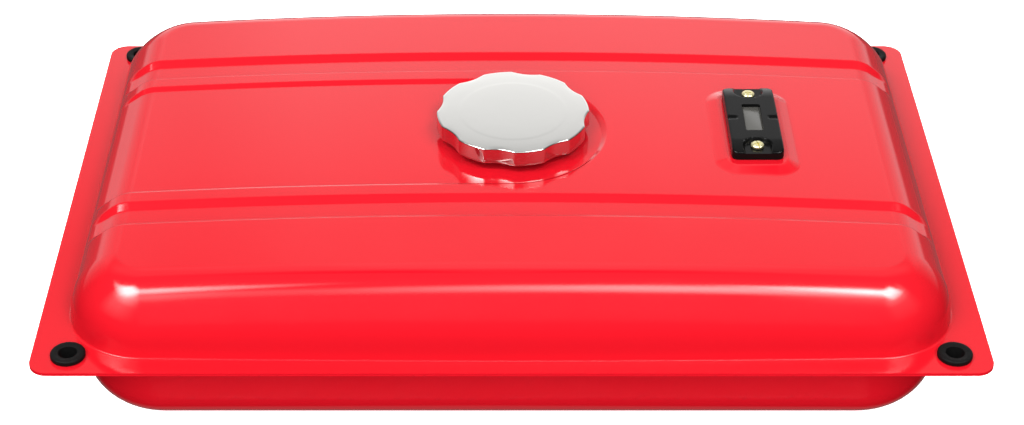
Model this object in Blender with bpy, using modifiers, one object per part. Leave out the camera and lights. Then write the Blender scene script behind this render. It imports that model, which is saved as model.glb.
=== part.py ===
"""Pressed steel fuel tank with a bayonet filler cap and a float gauge.

Metres, +Z up. The origin is on the flat bottom of the lower pan, under the middle of the tank.
X runs along the tank, +Y to the rear. Each piece is its own object; a moving piece hangs from an
empty on its joint's axis. Every pressed sheet is drawn flat as a plan, lifted by the height of its
die and thickened by its sheet.
"""

import math

import bmesh
import bpy
from mathutils import Vector
from mathutils.geometry import delaunay_2d_cdt

# Sheet and fit
SHEET = 0.001
GAP = 0.0003
OVERRUN = 0.002

# Flange round the seam of the two shells
FLANGE_LENGTH = 0.600
FLANGE_WIDTH = 0.400
FLANGE_CORNER = 0.012

# Upper shell
UPPER_HEIGHT = 0.0515
CROWN_RADIUS = 4.4
SIDE_LEDGE = 0.0169
FRONT_LEDGE = 0.0132
WALL_BOW = 0.0028
UPPER_CORNER = 0.0531
UPPER_FILLET = 0.0015
UPPER_DRAFT = math.radians(7)
UPPER_SHOULDER = 0.054
UPPER_CREST = 0.020
UPPER_CREST_TURN = math.radians(37)

# Reliefs pressed in the top: they fade out between these two distances from the wall's foot
RELIEF_START = 0.0071
RELIEF_FULL = 0.0211
GROOVE_OFFSET = 0.090
GROOVE_WIDTH = 0.027
GROOVE_DEPTH = 0.0037
GROOVE_FLANK = 0.0068
DRAIN_RADIUS = 0.067
DRAIN_DEPTH = 0.0022
DRAIN_FLANK = 0.0045
PAD_Y = 0.0015
PAD_LENGTH = 0.107
PAD_WIDTH = 0.058
PAD_CORNER = 0.017
PAD_SLOPE = 0.0125
PAD_RISE = 0.003012

# Lower pan
PAN_DEPTH = 0.065
PAN_SIDE_LEDGE = 0.018
PAN_FRONT_LEDGE = 0.016
PAN_CORNER = 0.060
PAN_FILLET = 0.003
PAN_DRAFT = math.radians(4)
PAN_SHOULDER = 0.038
SUMP_END_X = 0.077
SUMP_END_Y = 0.084
SUMP_RADIUS = 0.024
SUMP_SLOPE = 0.007
SUMP_RISE = 0.0045

# Grommets in the flange's corners
GROMMET_END_X = 0.0235
GROMMET_END_Y = 0.017
GROMMET_RADIUS = 0.011
GROMMET_NECK = 0.0078
GROMMET_BORE = 0.0059
GROMMET_RISE = 0.0035
GROMMET_DISH = 0.0012
GROMMET_BEVEL = 0.0013

# Filler neck
CAP_X = 0.0026
NECK_RADIUS = 0.031
NECK_SHEET = 0.001
NECK_FLANGE_RADIUS = 0.037
NECK_STAND = 0.0076
NECK_REACH = 0.0083
LIP_BORE = 0.0255
LEDGE_BORE = 0.0234
NOTCH_CLEARANCE = 0.001

# Strainer basket
STRAINER_DEPTH = 0.045
STRAINER_WALL = 0.0008
STRAINER_RIM = 0.0012
STRAINER_HOOP = 0.006
STRAINER_WINDOW = 0.015
STRAINER_ARMS = 3

# Filler cap
CAP_RADIUS = 0.0515
CAP_LOBES = 8
CAP_SCALLOP = 0.0031
CAP_SCALLOP_SHARE = 0.5
CAP_FIRST_CREASE = math.radians(-89.55)
CAP_SKIRT = 0.0103
CAP_SHEET = 0.0008
CAP_RIM = 0.0013
CAP_DOME = 0.0008
CAP_DOME_SHARES = (0.7, 0.35)
GASKET_THICKNESS = 0.002
PRESSURE_PLATE = 0.0008
SPRING_SHEET = 0.0005
SPRING_BOW = 0.0017
SPRING_LENGTH = 0.042
SPRING_WIDTH = 0.014
SPRING_CORNER = 0.003
SPRING_RUN = 0.006
VENT_RADIUS = 0.014
VENT_THICKNESS = 0.001
RIVET_RADIUS = 0.003
RIVET_HEAD_RADIUS = 0.006
RIVET_HEAD = 0.0008
LOCK_PLATE = 0.0012
LOCK_HUB_RADIUS = 0.012
TAB_REACH = 0.028
TAB_WIDTH = 0.014
TAB_CORNER = 0.003

# Gauge on its pad
GAUGE_X = 0.165
GAUGE_Y = 0.003
HOUSING_LENGTH = 0.083
HOUSING_WIDTH = 0.035
HOUSING_CORNER = 0.0045
HOUSING_HEIGHT = 0.0064
HOUSING_ROUND = 0.0012
HOUSING_CEILING = 0.002
HOUSING_WALL = 0.003
FALL_RUN = 0.015
FALL_DEPTH = 0.0022
CHAMBER_LENGTH = 0.048
WINDOW_LENGTH = 0.033
WINDOW_WIDTH = 0.0125
WINDOW_CORNER = 0.0015
LENS_LAP = 0.0012
LENS_THICKNESS = 0.0012
SCOOP_LENGTH = 0.0142
SCOOP_WIDTH = 0.0165
SCOOP_CORNER = 0.0065
SCOOP_DEPTH = 0.003
SCOOP_SLOPE = 0.002
THUMB_NOTCH_RADIUS = 0.004
THUMB_NOTCH_DEPTH = 0.001
THUMB_NOTCH_LENGTH = 0.0075
GAUGE_GASKET = 0.001
GAUGE_HOLE_LENGTH = 0.040
GAUGE_HOLE_WIDTH = 0.023
GAUGE_HOLE_CORNER = 0.004
FRAME_SHEET = 0.0008
CHEEK_THICKNESS = 0.001
CHEEK_WIDTH = 0.012
CHEEK_TAIL = 0.005

# Float gear
DRUM_RADIUS = 0.014
DRUM_WIDTH = 0.009
DRUM_CLEARANCE = 0.0005
DRUM_BEVEL = 0.0006
DRUM_SOCKET = 0.008
PIN_RADIUS = 0.0015
PIN_HEAD_RADIUS = 0.0026
PIN_HEAD = 0.001
ARM_LENGTH = 0.105
ARM_RADIUS = 0.001
ARM_FLOOR_GAP = 0.003
FLOAT_RADIUS = 0.0105
FLOAT_LENGTH = 0.038
FLOAT_ROUND = 0.002
CLIP_RADIUS = 0.0035
CLIP_THICKNESS = 0.0008
ARM_TAIL = 0.002

# Gauge fasteners
SCREW_SPACING = 0.0646
SCREW_RADIUS = 0.0024
SCREW_HEAD_RADIUS = 0.0044
SCREW_HEAD = 0.0024
SCREW_TAIL = 0.0015
PAN_HEAD_SHARES = ((0, 1), (0.5, 0.94), (0.86, 0.7), (1, 0.35), (1, 0))
NUT_SIDES = 6
NUT_WIDTH = 0.008
NUT_HEIGHT = 0.005

# Outlet bung
BUNG_RADIUS = 0.009
BUNG_FLANGE_RADIUS = 0.013
BUNG_FLANGE = 0.0015
BUNG_BORE = 0.005
BUNG_REACH = 0.010

# Faceting
RUN = 0.062
CORNER_STEPS = 5
FILLET_STEPS = 2
SHOULDER_STEPS = 4
CREST_STEPS = 2
FLANK_SHARES = (0, 0.25, 0.75, 1)
HOLE_STEPS = 18
ROUND_STEPS = 32
GROMMET_STEPS = 18
SMALL_STEPS = 12
LOBE_STEPS = 3
SCALLOP_STEPS = 4
RIM_STEPS = 2
FALL_STEPS = 4
MERGE = 0.00001
SHARP_ANGLE = math.radians(35)

# Levels that follow from the sizes above
FLANGE_TOP = PAN_DEPTH
LOWER_FLANGE_TOP = FLANGE_TOP - SHEET - GAP
LOWER_FLANGE_BOTTOM = LOWER_FLANGE_TOP - SHEET
UPPER_HALF_X = FLANGE_LENGTH / 2 - SIDE_LEDGE
UPPER_HALF_Y = FLANGE_WIDTH / 2 - FRONT_LEDGE
PAN_HALF_X = FLANGE_LENGTH / 2 - PAN_SIDE_LEDGE
PAN_HALF_Y = FLANGE_WIDTH / 2 - PAN_FRONT_LEDGE
SUMP_X = SUMP_END_X - PAN_HALF_X
SUMP_Y = SUMP_END_Y - PAN_HALF_Y
GROMMET_X = FLANGE_LENGTH / 2 - GROMMET_END_X
GROMMET_Y = FLANGE_WIDTH / 2 - GROMMET_END_Y


def crown_sag(x):
    """How far the top has fallen from its middle towards both ends."""
    return x * x / (2 * CROWN_RADIUS)


DRAIN_FLOOR = FLANGE_TOP + UPPER_HEIGHT - crown_sag(CAP_X) - DRAIN_DEPTH
NECK_TOP = DRAIN_FLOOR + NECK_STAND
LEDGE_TOP = DRAIN_FLOOR - NECK_REACH
PAD_TOP = FLANGE_TOP + UPPER_HEIGHT - crown_sag(GAUGE_X) + PAD_RISE
HOUSING_BOTTOM = PAD_TOP + GAP + GAUGE_GASKET + GAP
HOUSING_TOP = HOUSING_BOTTOM + HOUSING_HEIGHT
LENS_TOP = HOUSING_TOP - HOUSING_CEILING - GAP
PIVOT_Z = LENS_TOP - LENS_THICKNESS - DRUM_CLEARANCE - DRUM_RADIUS
ARM_REACH = ARM_LENGTH + FLOAT_RADIUS + GAP + CLIP_THICKNESS + ARM_TAIL
ARM_REST = math.asin(min((PIVOT_Z - SHEET - ARM_FLOOR_GAP) / ARM_REACH, 1))
SCREW_BORE = SCREW_RADIUS + GAP
RIVET_BORE = RIVET_RADIUS + GAP

# Colours, linear, from the photograph
RED_PAINT = (0.80, 0.012, 0.018, 1)
BLACK_RUBBER = (0.012, 0.012, 0.012, 1)
BLACK_PLASTIC = (0.008, 0.008, 0.009, 1)
CHROME = (0.75, 0.75, 0.74, 1)
ZINC = (0.52, 0.53, 0.54, 1)
YELLOW_ZINC = (0.72, 0.60, 0.28, 1)
NYLON = (0.75, 0.74, 0.70, 1)
CLEAR_LENS = (0.50, 0.51, 0.49, 1)
FLOAT_FOAM = (0.03, 0.03, 0.03, 1)


def material(name, colour, roughness, metallic):
    """A Principled material of one colour, made once and shared by name."""
    found = bpy.data.materials.get(name) or bpy.data.materials.new(name)
    found.use_nodes = True
    shader = found.node_tree.nodes["Principled BSDF"]
    shader.inputs["Base Color"].default_value = colour
    shader.inputs["Roughness"].default_value = roughness
    shader.inputs["Metallic"].default_value = metallic
    return found


def finish(obj, look, parent=None, smooth=True):
    """Gives an object its material, its parent and smooth shading with sharp creases."""
    obj.data.materials.append(look)
    obj.parent = parent
    if smooth and obj.type == "MESH":
        obj.data.shade_smooth()
        obj.data.set_sharp_from_angle(angle=SHARP_ANGLE)
    return obj


def new_object(name, data, collection, location=(0, 0, 0), rotation=(0, 0, 0)):
    """Links a new object with its place to a collection."""
    obj = bpy.data.objects.new(name, data)
    obj.location = location
    obj.rotation_euler = rotation
    collection.objects.link(obj)
    return obj


def mesh_from(name, verts, edges, faces):
    """A mesh from its vertices, edges and faces."""
    mesh = bpy.data.meshes.new(name)
    mesh.from_pydata(verts, edges, faces)
    return mesh


def arc(centre, radius, start, end, steps):
    """Points of an arc round a centre, both ends included."""
    angles = [start + (end - start) * i / steps for i in range(steps + 1)]
    return [(centre[0] + radius * math.cos(a), centre[1] + radius * math.sin(a)) for a in angles]


def circle(centre, radius, steps=HOLE_STEPS):
    """Points round a full circle."""
    return arc(centre, radius, 0, 2 * math.pi, steps)[:-1]


def split_runs(points, run):
    """The same closed outline, with straight runs longer than run divided evenly."""
    outline = []
    for here, there in zip(points, points[1:] + points[:1]):
        parts = max(1, math.ceil(math.dist(here, there) / run - MERGE))
        outline += [tuple(h + (t - h) * i / parts for h, t in zip(here, there)) for i in range(parts)]
    return outline


def rounded_rectangle(half_x, half_y, radius, centre=(0, 0), steps=CORNER_STEPS, run=RUN):
    """An outline with four round corners, anticlockwise."""
    signs = ((1, 1), (-1, 1), (-1, -1), (1, -1))
    points = []
    for quarter, (sx, sy) in enumerate(signs):
        middle = (centre[0] + sx * (half_x - radius), centre[1] + sy * (half_y - radius))
        start = quarter * math.pi / 2
        points += arc(middle, radius, start, start + math.pi / 2, steps)
    return split_runs(points, run)


def inset(x, y, half_x, half_y, radius):
    """How far a point lies inside a rounded rectangle; negative outside it."""
    dx = abs(x) - (half_x - radius)
    dy = abs(y) - (half_y - radius)
    return radius - math.hypot(max(dx, 0), max(dy, 0)) - min(max(dx, dy), 0)


def smooth_share(value):
    """0 below 0, 1 above 1, and an S curve between."""
    t = min(max(value, 0), 1)
    return t * t * (3 - 2 * t)


class PressedWall:
    """A drawn wall: a fillet at its foot, a leaning straight side and a shoulder of two radii.

    The crest is the tighter radius next to the top, and crest_turn the lean at which it meets the
    wide one. The long walls bow outwards in their middle.
    """

    def __init__(self, half_x, half_y, corner, fillet, draft, shoulder, height, crest, crest_turn, bow):
        self.half_x, self.half_y, self.corner, self.bow = half_x, half_y, corner, bow
        self.fillet, self.draft, self.shoulder, self.height = fillet, draft, shoulder, height
        self.crest, self.crest_turn = crest, crest_turn
        wider = shoulder - crest
        self.crest_axis_z = height - crest
        self.shoulder_axis_z = self.crest_axis_z - wider * math.cos(crest_turn)
        self.wall_top = self.shoulder_axis_z + shoulder * math.sin(draft)
        self.fillet_end = fillet * math.cos(draft)
        straight = self.wall_top - fillet * (1 - math.sin(draft))
        self.wall_end = self.fillet_end + straight * math.tan(draft)
        self.shoulder_axis = self.wall_end + shoulder * math.cos(draft)
        self.shoulder_end = self.shoulder_axis - wider * math.sin(crest_turn)
        self.crest_start = self.shoulder_end - crest * math.sin(crest_turn)

    def stretch(self, x):
        """How much wider the bowed plan is than the straight one."""
        reach = self.half_x - self.corner
        return 1 + self.bow / self.half_y * max(1 - (x / reach) ** 2, 0)

    def inset(self, x, y):
        """How far a point lies inside the wall's foot."""
        return inset(x, y / self.stretch(x), self.half_x, self.half_y, self.corner)

    def rise(self, depth):
        """Height of the wall at a distance inside its foot."""
        if depth <= 0:
            return 0
        if depth <= self.fillet_end:
            return self.fillet - math.sqrt(self.fillet**2 - depth**2)
        if depth < self.wall_end:
            return self.fillet * (1 - math.sin(self.draft)) + (depth - self.fillet_end) / math.tan(self.draft)
        if depth < self.crest_start:
            rest = self.shoulder_axis - depth
            return self.shoulder_axis_z + math.sqrt(max(self.shoulder**2 - rest**2, 0))
        rest = max(self.shoulder_end - depth, 0)
        return self.crest_axis_z + math.sqrt(self.crest**2 - rest**2)

    def crown_share(self, rise):
        """Share of the top's crown at a height on the wall: none up to the shoulder, all on the top."""
        return min(max((rise - self.wall_top) / (self.height - self.wall_top), 0), 1)

    def contours(self):
        """The plan outlines from the wall's foot to the top of its shoulder."""
        lean = math.pi / 2 - self.draft
        depths = [self.fillet * math.sin(lean * i / FILLET_STEPS) for i in range(FILLET_STEPS + 1)]
        for i in range(SHOULDER_STEPS + 1):
            turn = lean + (self.crest_turn - lean) * i / SHOULDER_STEPS
            depths.append(self.shoulder_axis - self.shoulder * math.sin(turn))
        for i in range(CREST_STEPS if self.crest_turn else 0):
            turn = self.crest_turn * (1 - (i + 1) / CREST_STEPS)
            depths.append(self.shoulder_end - self.crest * math.sin(turn))
        outlines = []
        for depth in depths:
            outline = rounded_rectangle(self.half_x - depth, self.half_y - depth, self.corner - depth)
            outlines.append([(x, y * self.stretch(x)) for x, y in outline])
        return outlines


UPPER_WALL = PressedWall(
    UPPER_HALF_X, UPPER_HALF_Y, UPPER_CORNER, UPPER_FILLET, UPPER_DRAFT,
    UPPER_SHOULDER, UPPER_HEIGHT, UPPER_CREST, UPPER_CREST_TURN, WALL_BOW
)
PAN_WALL = PressedWall(
    PAN_HALF_X, PAN_HALF_Y, PAN_CORNER, PAN_FILLET, PAN_DRAFT,
    PAN_SHOULDER, LOWER_FLANGE_BOTTOM, PAN_SHOULDER, 0, 0
)


def holds(outline, point):
    """Whether a closed outline holds a point."""
    inside = False
    for (ax, ay), (bx, by) in zip(outline, outline[1:] + outline[:1]):
        if (ay > point[1]) != (by > point[1]):
            if point[0] < ax + (point[1] - ay) / (by - ay) * (bx - ax):
                inside = not inside
    return inside


def pressed_sheet(name, loops, lines, holes, height, thickness, collection, facing_up=True):
    """A sheet drawn as a flat plan, lifted by height(x, y), pierced by holes and thickened."""
    points, edges = [], []
    for chain, closed in [(c, True) for c in loops + holes] + [(c, False) for c in lines]:
        first = len(points)
        points += [Vector(p) for p in chain]
        edges += [(first + i, first + i + 1) for i in range(len(chain) - 1)]
        edges += [(len(points) - 1, first)] if closed else []
    flat, _, faces, _, _, _ = delaunay_2d_cdt(points, edges, [], 0, MERGE)
    kept = []
    for face in faces:
        middle = [sum(flat[i][axis] for i in face) / len(face) for axis in (0, 1)]
        if not any(holds(hole, middle) for hole in holes):
            kept.append(face if facing_up else face[::-1])
    mesh = mesh_from(name, [(p.x, p.y, height(p.x, p.y)) for p in flat], [], kept)
    sheet = bmesh.new()
    sheet.from_mesh(mesh)
    loose = [v for v in sheet.verts if not v.link_faces]
    bmesh.ops.delete(sheet, geom=loose, context="VERTS")
    sheet.to_mesh(mesh)
    sheet.free()
    obj = new_object(name, mesh, collection)
    solid = obj.modifiers.new("sheet", "SOLIDIFY")
    solid.thickness = thickness
    solid.offset = -1
    solid.use_even_offset = True
    return obj


def turned(name, profile, collection, closed=True, steps=ROUND_STEPS, **place):
    """A profile of (radius, height) points turned about Z, listed down its outer side."""
    count = len(profile)
    edges = [(i, i + 1) for i in range(count - 1)] + ([(count - 1, 0)] if closed else [])
    mesh = mesh_from(name, [(r, 0, z) for r, z in profile], edges, [])
    obj = new_object(name, mesh, collection, **place)
    screw = obj.modifiers.new("turn", "SCREW")
    screw.steps = steps
    screw.render_steps = steps
    screw.use_merge_vertices = True
    screw.merge_threshold = MERGE
    screw.use_smooth_shade = True
    return obj


def flat_plate(name, outlines, thickness, collection, location=(0, 0, 0), rotation=(0, 0, 0)):
    """A flat outline with its holes, thickened upwards from its place."""
    curve = bpy.data.curves.new(name, "CURVE")
    curve.dimensions = "2D"
    curve.fill_mode = "BOTH"
    curve.extrude = thickness / 2
    for outline in outlines:
        spline = curve.splines.new("POLY")
        spline.points.add(len(outline) - 1)
        for point, (x, y) in zip(spline.points, outline):
            point.co = (x, y, 0, 1)
        spline.use_cyclic_u = True
    x, y, z = location
    return new_object(name, curve, collection, (x, y, z + thickness / 2), rotation)


def solid_plate(name, outline, thickness, collection, **place):
    """An outline raised to a closed block."""
    block = bmesh.new()
    bottom = [block.verts.new((x, y, 0)) for x, y in outline]
    face = block.faces.new(bottom)
    raised = bmesh.ops.extrude_face_region(block, geom=[face])["geom"]
    for vert in [g for g in raised if isinstance(g, bmesh.types.BMVert)]:
        vert.co.z = thickness
    bmesh.ops.recalc_face_normals(block, faces=block.faces)
    mesh = bpy.data.meshes.new(name)
    block.to_mesh(mesh)
    block.free()
    return new_object(name, mesh, collection, **place)


def box(name, size, collection, **place):
    """A block of the given size round its place."""
    block = bmesh.new()
    bmesh.ops.create_cube(block, size=1)
    bmesh.ops.scale(block, vec=size, verts=block.verts)
    mesh = bpy.data.meshes.new(name)
    block.to_mesh(mesh)
    block.free()
    return new_object(name, mesh, collection, **place)


def rod(name, radius, length, collection, steps=SMALL_STEPS, **place):
    """A cylinder along Z, centred on its place."""
    bar = bmesh.new()
    bmesh.ops.create_cone(bar, cap_ends=True, segments=steps, radius1=radius, radius2=radius, depth=length)
    mesh = bpy.data.meshes.new(name)
    bar.to_mesh(mesh)
    bar.free()
    return new_object(name, mesh, collection, **place)


def combine(target, tool, operation="DIFFERENCE"):
    """Cuts a tool from a piece, or joins it to the piece, and hides the tool."""
    tool.hide_render = True
    tool.display_type = "WIRE"
    boolean = target.modifiers.new(tool.name, "BOOLEAN")
    boolean.operation = operation
    boolean.object = tool
    boolean.solver = "EXACT"
    return target


def soften(obj, width, segments=2, angle=SHARP_ANGLE):
    """Rounds an object's sharp edges."""
    bevel = obj.modifiers.new("round", "BEVEL")
    bevel.width = width
    bevel.segments = segments
    bevel.limit_method = "ANGLE"
    bevel.angle_limit = angle
    return obj


def grommet_places():
    """Name and centre of each of the four grommets."""
    sides = (("left", -1), ("right", 1))
    ends = (("front", -1), ("rear", 1))
    return [
        (f"{end}_{side}", (sx * GROMMET_X, sy * GROMMET_Y))
        for end, sy in ends
        for side, sx in sides
    ]


def screw_places():
    """Name and centre of each gauge screw."""
    return [
        ("front", (GAUGE_X, GAUGE_Y - SCREW_SPACING / 2)),
        ("rear", (GAUGE_X, GAUGE_Y + SCREW_SPACING / 2)),
    ]


def grommet_holes():
    """The four holes that the grommets' necks pass."""
    return [circle(centre, GROMMET_NECK + GAP) for _, centre in grommet_places()]


def flange_outline():
    """The outer edge of both shells."""
    return rounded_rectangle(FLANGE_LENGTH / 2, FLANGE_WIDTH / 2, FLANGE_CORNER)


def groove_depth(y):
    """Depth of the two transverse grooves at a distance from the tank's middle."""
    inside = GROOVE_WIDTH / 2 - abs(abs(y) - GROOVE_OFFSET)
    return GROOVE_DEPTH * smooth_share(inside / GROOVE_FLANK)


def drain_depth(x, y):
    """Depth of the drain channel, round at the filler and open to the left."""
    reach = math.hypot(max(x - CAP_X, 0), y)
    return DRAIN_DEPTH * smooth_share((DRAIN_RADIUS - reach) / DRAIN_FLANK)


def upper_die(x, y):
    """Outer height of the upper shell."""
    foot = UPPER_WALL.inset(x, y)
    rise = UPPER_WALL.rise(foot)
    plain = FLANGE_TOP + rise - crown_sag(x) * UPPER_WALL.crown_share(rise)
    relief = smooth_share((foot - RELIEF_START) / (RELIEF_FULL - RELIEF_START))
    top = plain - relief * (groove_depth(y) + drain_depth(x, y))
    on_pad = inset(x - GAUGE_X, y - PAD_Y, PAD_WIDTH / 2, PAD_LENGTH / 2, PAD_CORNER)
    return top + (PAD_TOP - top) * smooth_share(on_pad / PAD_SLOPE)


def lower_die(x, y):
    """Outer height of the lower pan, with the raised seat of the outlet bung."""
    depth = PAN_WALL.rise(PAN_WALL.inset(x, y))
    seat = SUMP_RADIUS - math.hypot(x - SUMP_X, y - SUMP_Y)
    return LOWER_FLANGE_BOTTOM - depth + SUMP_RISE * smooth_share(seat / SUMP_SLOPE)


def groove_lines():
    """Plan lines along the flanks of both grooves."""
    reach = UPPER_HALF_X - RELIEF_START
    steps = math.ceil(2 * reach / RUN)
    lines = []
    for side in (-1, 1):
        for edge in (-1, 1):
            for share in FLANK_SHARES:
                y = side * GROOVE_OFFSET + edge * (GROOVE_WIDTH / 2 - share * GROOVE_FLANK)
                lines.append([(-reach + 2 * reach * i / steps, y) for i in range(steps + 1)])
    return lines


def drain_lines():
    """Plan lines along the flank of the drain channel."""
    start = -UPPER_HALF_X + RELIEF_START
    steps = math.ceil((CAP_X - start) / RUN)
    lines = []
    for share in FLANK_SHARES:
        radius = DRAIN_RADIUS - share * DRAIN_FLANK
        leg = [(start + (CAP_X - start) * i / steps, radius) for i in range(steps)]
        bend = arc((CAP_X, 0), radius, math.pi / 2, -math.pi / 2, HOLE_STEPS)
        lines.append(leg + bend + [(x, -y) for x, y in reversed(leg)])
    return lines


def pad_loops():
    """Plan outlines down the slope of the gauge's pad."""
    loops = []
    for share in FLANK_SHARES:
        down = share * PAD_SLOPE
        half_x, half_y = PAD_WIDTH / 2 - down, PAD_LENGTH / 2 - down
        loops.append(rounded_rectangle(half_x, half_y, PAD_CORNER - down, (GAUGE_X, PAD_Y), FILLET_STEPS + 1))
    return loops


def make_upper_shell(collection, paint):
    """The crowned, relieved upper pressing with its flange."""
    gauge_hole = rounded_rectangle(
        GAUGE_HOLE_WIDTH / 2, GAUGE_HOLE_LENGTH / 2, GAUGE_HOLE_CORNER, (GAUGE_X, GAUGE_Y), FILLET_STEPS
    )
    holes = grommet_holes() + [circle((CAP_X, 0), NECK_RADIUS + GAP, ROUND_STEPS), gauge_hole]
    holes += [circle(centre, SCREW_BORE, SMALL_STEPS) for _, centre in screw_places()]
    lines = groove_lines() + drain_lines()
    loops = [flange_outline()] + UPPER_WALL.contours() + pad_loops()
    finish(pressed_sheet("upper_shell", loops, lines, holes, upper_die, SHEET, collection), paint)


def make_lower_shell(collection, paint):
    """The deep lower pan with its flange and the seat of the outlet bung."""
    seat = [circle((SUMP_X, SUMP_Y), SUMP_RADIUS - share * SUMP_SLOPE) for share in FLANK_SHARES]
    holes = grommet_holes() + [circle((SUMP_X, SUMP_Y), BUNG_RADIUS + GAP)]
    loops = [flange_outline()] + PAN_WALL.contours() + seat
    pan = pressed_sheet("lower_shell", loops, [], holes, lower_die, SHEET, collection, facing_up=False)
    finish(pan, paint)


def make_grommets(collection, rubber):
    """A rubber grommet snapped into each corner hole of the flange."""
    top = FLANGE_TOP + GROMMET_RISE
    under = LOWER_FLANGE_BOTTOM - GAP
    low = under - GROMMET_RISE
    crest = (GROMMET_BORE + GROMMET_RADIUS) / 2
    profile = [
        (GROMMET_BORE, top - GROMMET_DISH),
        (crest, top),
        (GROMMET_RADIUS - GROMMET_BEVEL, top),
        (GROMMET_RADIUS, top - GROMMET_BEVEL),
        (GROMMET_RADIUS, FLANGE_TOP + GAP),
        (GROMMET_NECK, FLANGE_TOP + GAP),
        (GROMMET_NECK, under),
        (GROMMET_RADIUS, under),
        (GROMMET_RADIUS, low + GROMMET_BEVEL),
        (GROMMET_RADIUS - GROMMET_BEVEL, low),
        (GROMMET_BORE, low),
    ]
    for name, (x, y) in grommet_places():
        ring = turned(f"grommet_{name}", profile, collection, steps=GROMMET_STEPS, location=(x, y, 0))
        finish(ring, rubber, smooth=False)


def make_filler_neck(collection, cutters, axis, zinc):
    """The neck on the drain channel's floor: bayonet lip above, strainer ledge below."""
    inner = NECK_RADIUS - NECK_SHEET
    base = DRAIN_FLOOR + GAP
    profile = [
        (LIP_BORE, NECK_TOP),
        (NECK_RADIUS, NECK_TOP),
        (NECK_RADIUS, base + NECK_SHEET),
        (NECK_FLANGE_RADIUS, base + NECK_SHEET),
        (NECK_FLANGE_RADIUS, base),
        (NECK_RADIUS, base),
        (NECK_RADIUS, LEDGE_TOP - NECK_SHEET),
        (LEDGE_BORE, LEDGE_TOP - NECK_SHEET),
        (LEDGE_BORE, LEDGE_TOP),
        (inner, LEDGE_TOP),
        (inner, NECK_TOP - NECK_SHEET),
        (LIP_BORE, NECK_TOP - NECK_SHEET),
    ]
    neck = finish(turned("filler_neck", profile, collection), zinc, axis)
    size = (TAB_WIDTH + 2 * NOTCH_CLEARANCE, 2 * (TAB_REACH + GAP), NECK_SHEET + 2 * OVERRUN)
    notch = box("notch_cutter", size, cutters, location=(0, 0, NECK_TOP))
    notch.parent = axis
    combine(neck, notch)


def make_strainer(collection, cutters, axis, nylon):
    """The basket that hangs on the neck's ledge, with tall windows for its net."""
    radius = LEDGE_BORE - GAP
    rim_radius = LIP_BORE - GAP
    bore = radius - STRAINER_WALL
    seat = LEDGE_TOP + GAP
    floor = seat - STRAINER_DEPTH
    profile = [
        (bore, seat + STRAINER_RIM),
        (rim_radius, seat + STRAINER_RIM),
        (rim_radius, seat),
        (radius, seat),
        (radius, floor),
        (0, floor),
        (0, floor + STRAINER_WALL),
        (bore, floor + STRAINER_WALL),
    ]
    basket = finish(turned("strainer_basket", profile, collection), nylon, axis)
    height = STRAINER_DEPTH - 2 * STRAINER_HOOP
    for arm in range(STRAINER_ARMS):
        window = box(
            f"strainer_window_{arm + 1}",
            (STRAINER_WINDOW, 2 * NECK_RADIUS, height),
            cutters,
            location=(0, 0, seat - STRAINER_HOOP - height / 2),
            rotation=(0, 0, math.pi * arm / STRAINER_ARMS),
        )
        window.parent = axis
        combine(basket, window)


def cap_outline():
    """Angles and radii round the cap: full arcs with hollow scallops between sharp creases."""
    pitch = 2 * math.pi / CAP_LOBES
    hollow = pitch * CAP_SCALLOP_SHARE
    points = []
    for lobe in range(CAP_LOBES):
        start = CAP_FIRST_CREASE + lobe * pitch
        points += [(start + (pitch - hollow) * i / LOBE_STEPS, CAP_RADIUS) for i in range(LOBE_STEPS)]
        for i in range(SCALLOP_STEPS):
            t = 2 * i / SCALLOP_STEPS - 1
            points.append((start + pitch - hollow + hollow * i / SCALLOP_STEPS,
                           CAP_RADIUS - CAP_SCALLOP * (1 - t * t)))
    return points


def cap_levels():
    """Heights of the stack under the cap's top, from the gasket's seat upwards."""
    levels = {"gasket": NECK_TOP + GAP}
    levels["plate"] = levels["gasket"] + GASKET_THICKNESS + GAP
    levels["spring"] = levels["plate"] + PRESSURE_PLATE + GAP
    levels["vent"] = levels["spring"] + SPRING_BOW + SPRING_SHEET + GAP
    levels["rivet"] = levels["vent"] + VENT_THICKNESS + GAP
    levels["inside"] = levels["rivet"] + RIVET_HEAD + GAP
    levels["top"] = levels["inside"] + CAP_SHEET - CAP_DOME
    return levels


def make_cap_shell(collection, axis, chrome):
    """The pressed, eight-lobed cap."""
    outline = cap_outline()
    top = cap_levels()["top"]
    rings = [[(r, a, top - CAP_SKIRT) for a, r in outline]]
    for i in range(RIM_STEPS + 1):
        turn = math.pi / 2 * i / RIM_STEPS
        inwards, down = CAP_RIM * (1 - math.cos(turn)), CAP_RIM * (1 - math.sin(turn))
        rings.append([(r - inwards, a, top - down) for a, r in outline])
    for share in CAP_DOME_SHARES:
        rings.append([(share * CAP_RADIUS, a, top + CAP_DOME * (1 - share**2)) for a, _ in outline])
    shell = bmesh.new()
    made = [[shell.verts.new((r * math.cos(a), r * math.sin(a), z)) for r, a, z in ring] for ring in rings]
    for low, high in zip(made, made[1:]):
        for i in range(len(low)):
            j = (i + 1) % len(low)
            shell.faces.new((low[i], low[j], high[j], high[i]))
    peak = shell.verts.new((0, 0, top + CAP_DOME))
    for i in range(len(made[-1])):
        shell.faces.new((made[-1][i], made[-1][(i + 1) % len(made[-1])], peak))
    mesh = bpy.data.meshes.new("cap_shell")
    shell.to_mesh(mesh)
    shell.free()
    cap = finish(new_object("cap_shell", mesh, collection), chrome, axis)
    solid = cap.modifiers.new("sheet", "SOLIDIFY")
    solid.thickness = CAP_SHEET
    solid.offset = -1


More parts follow.
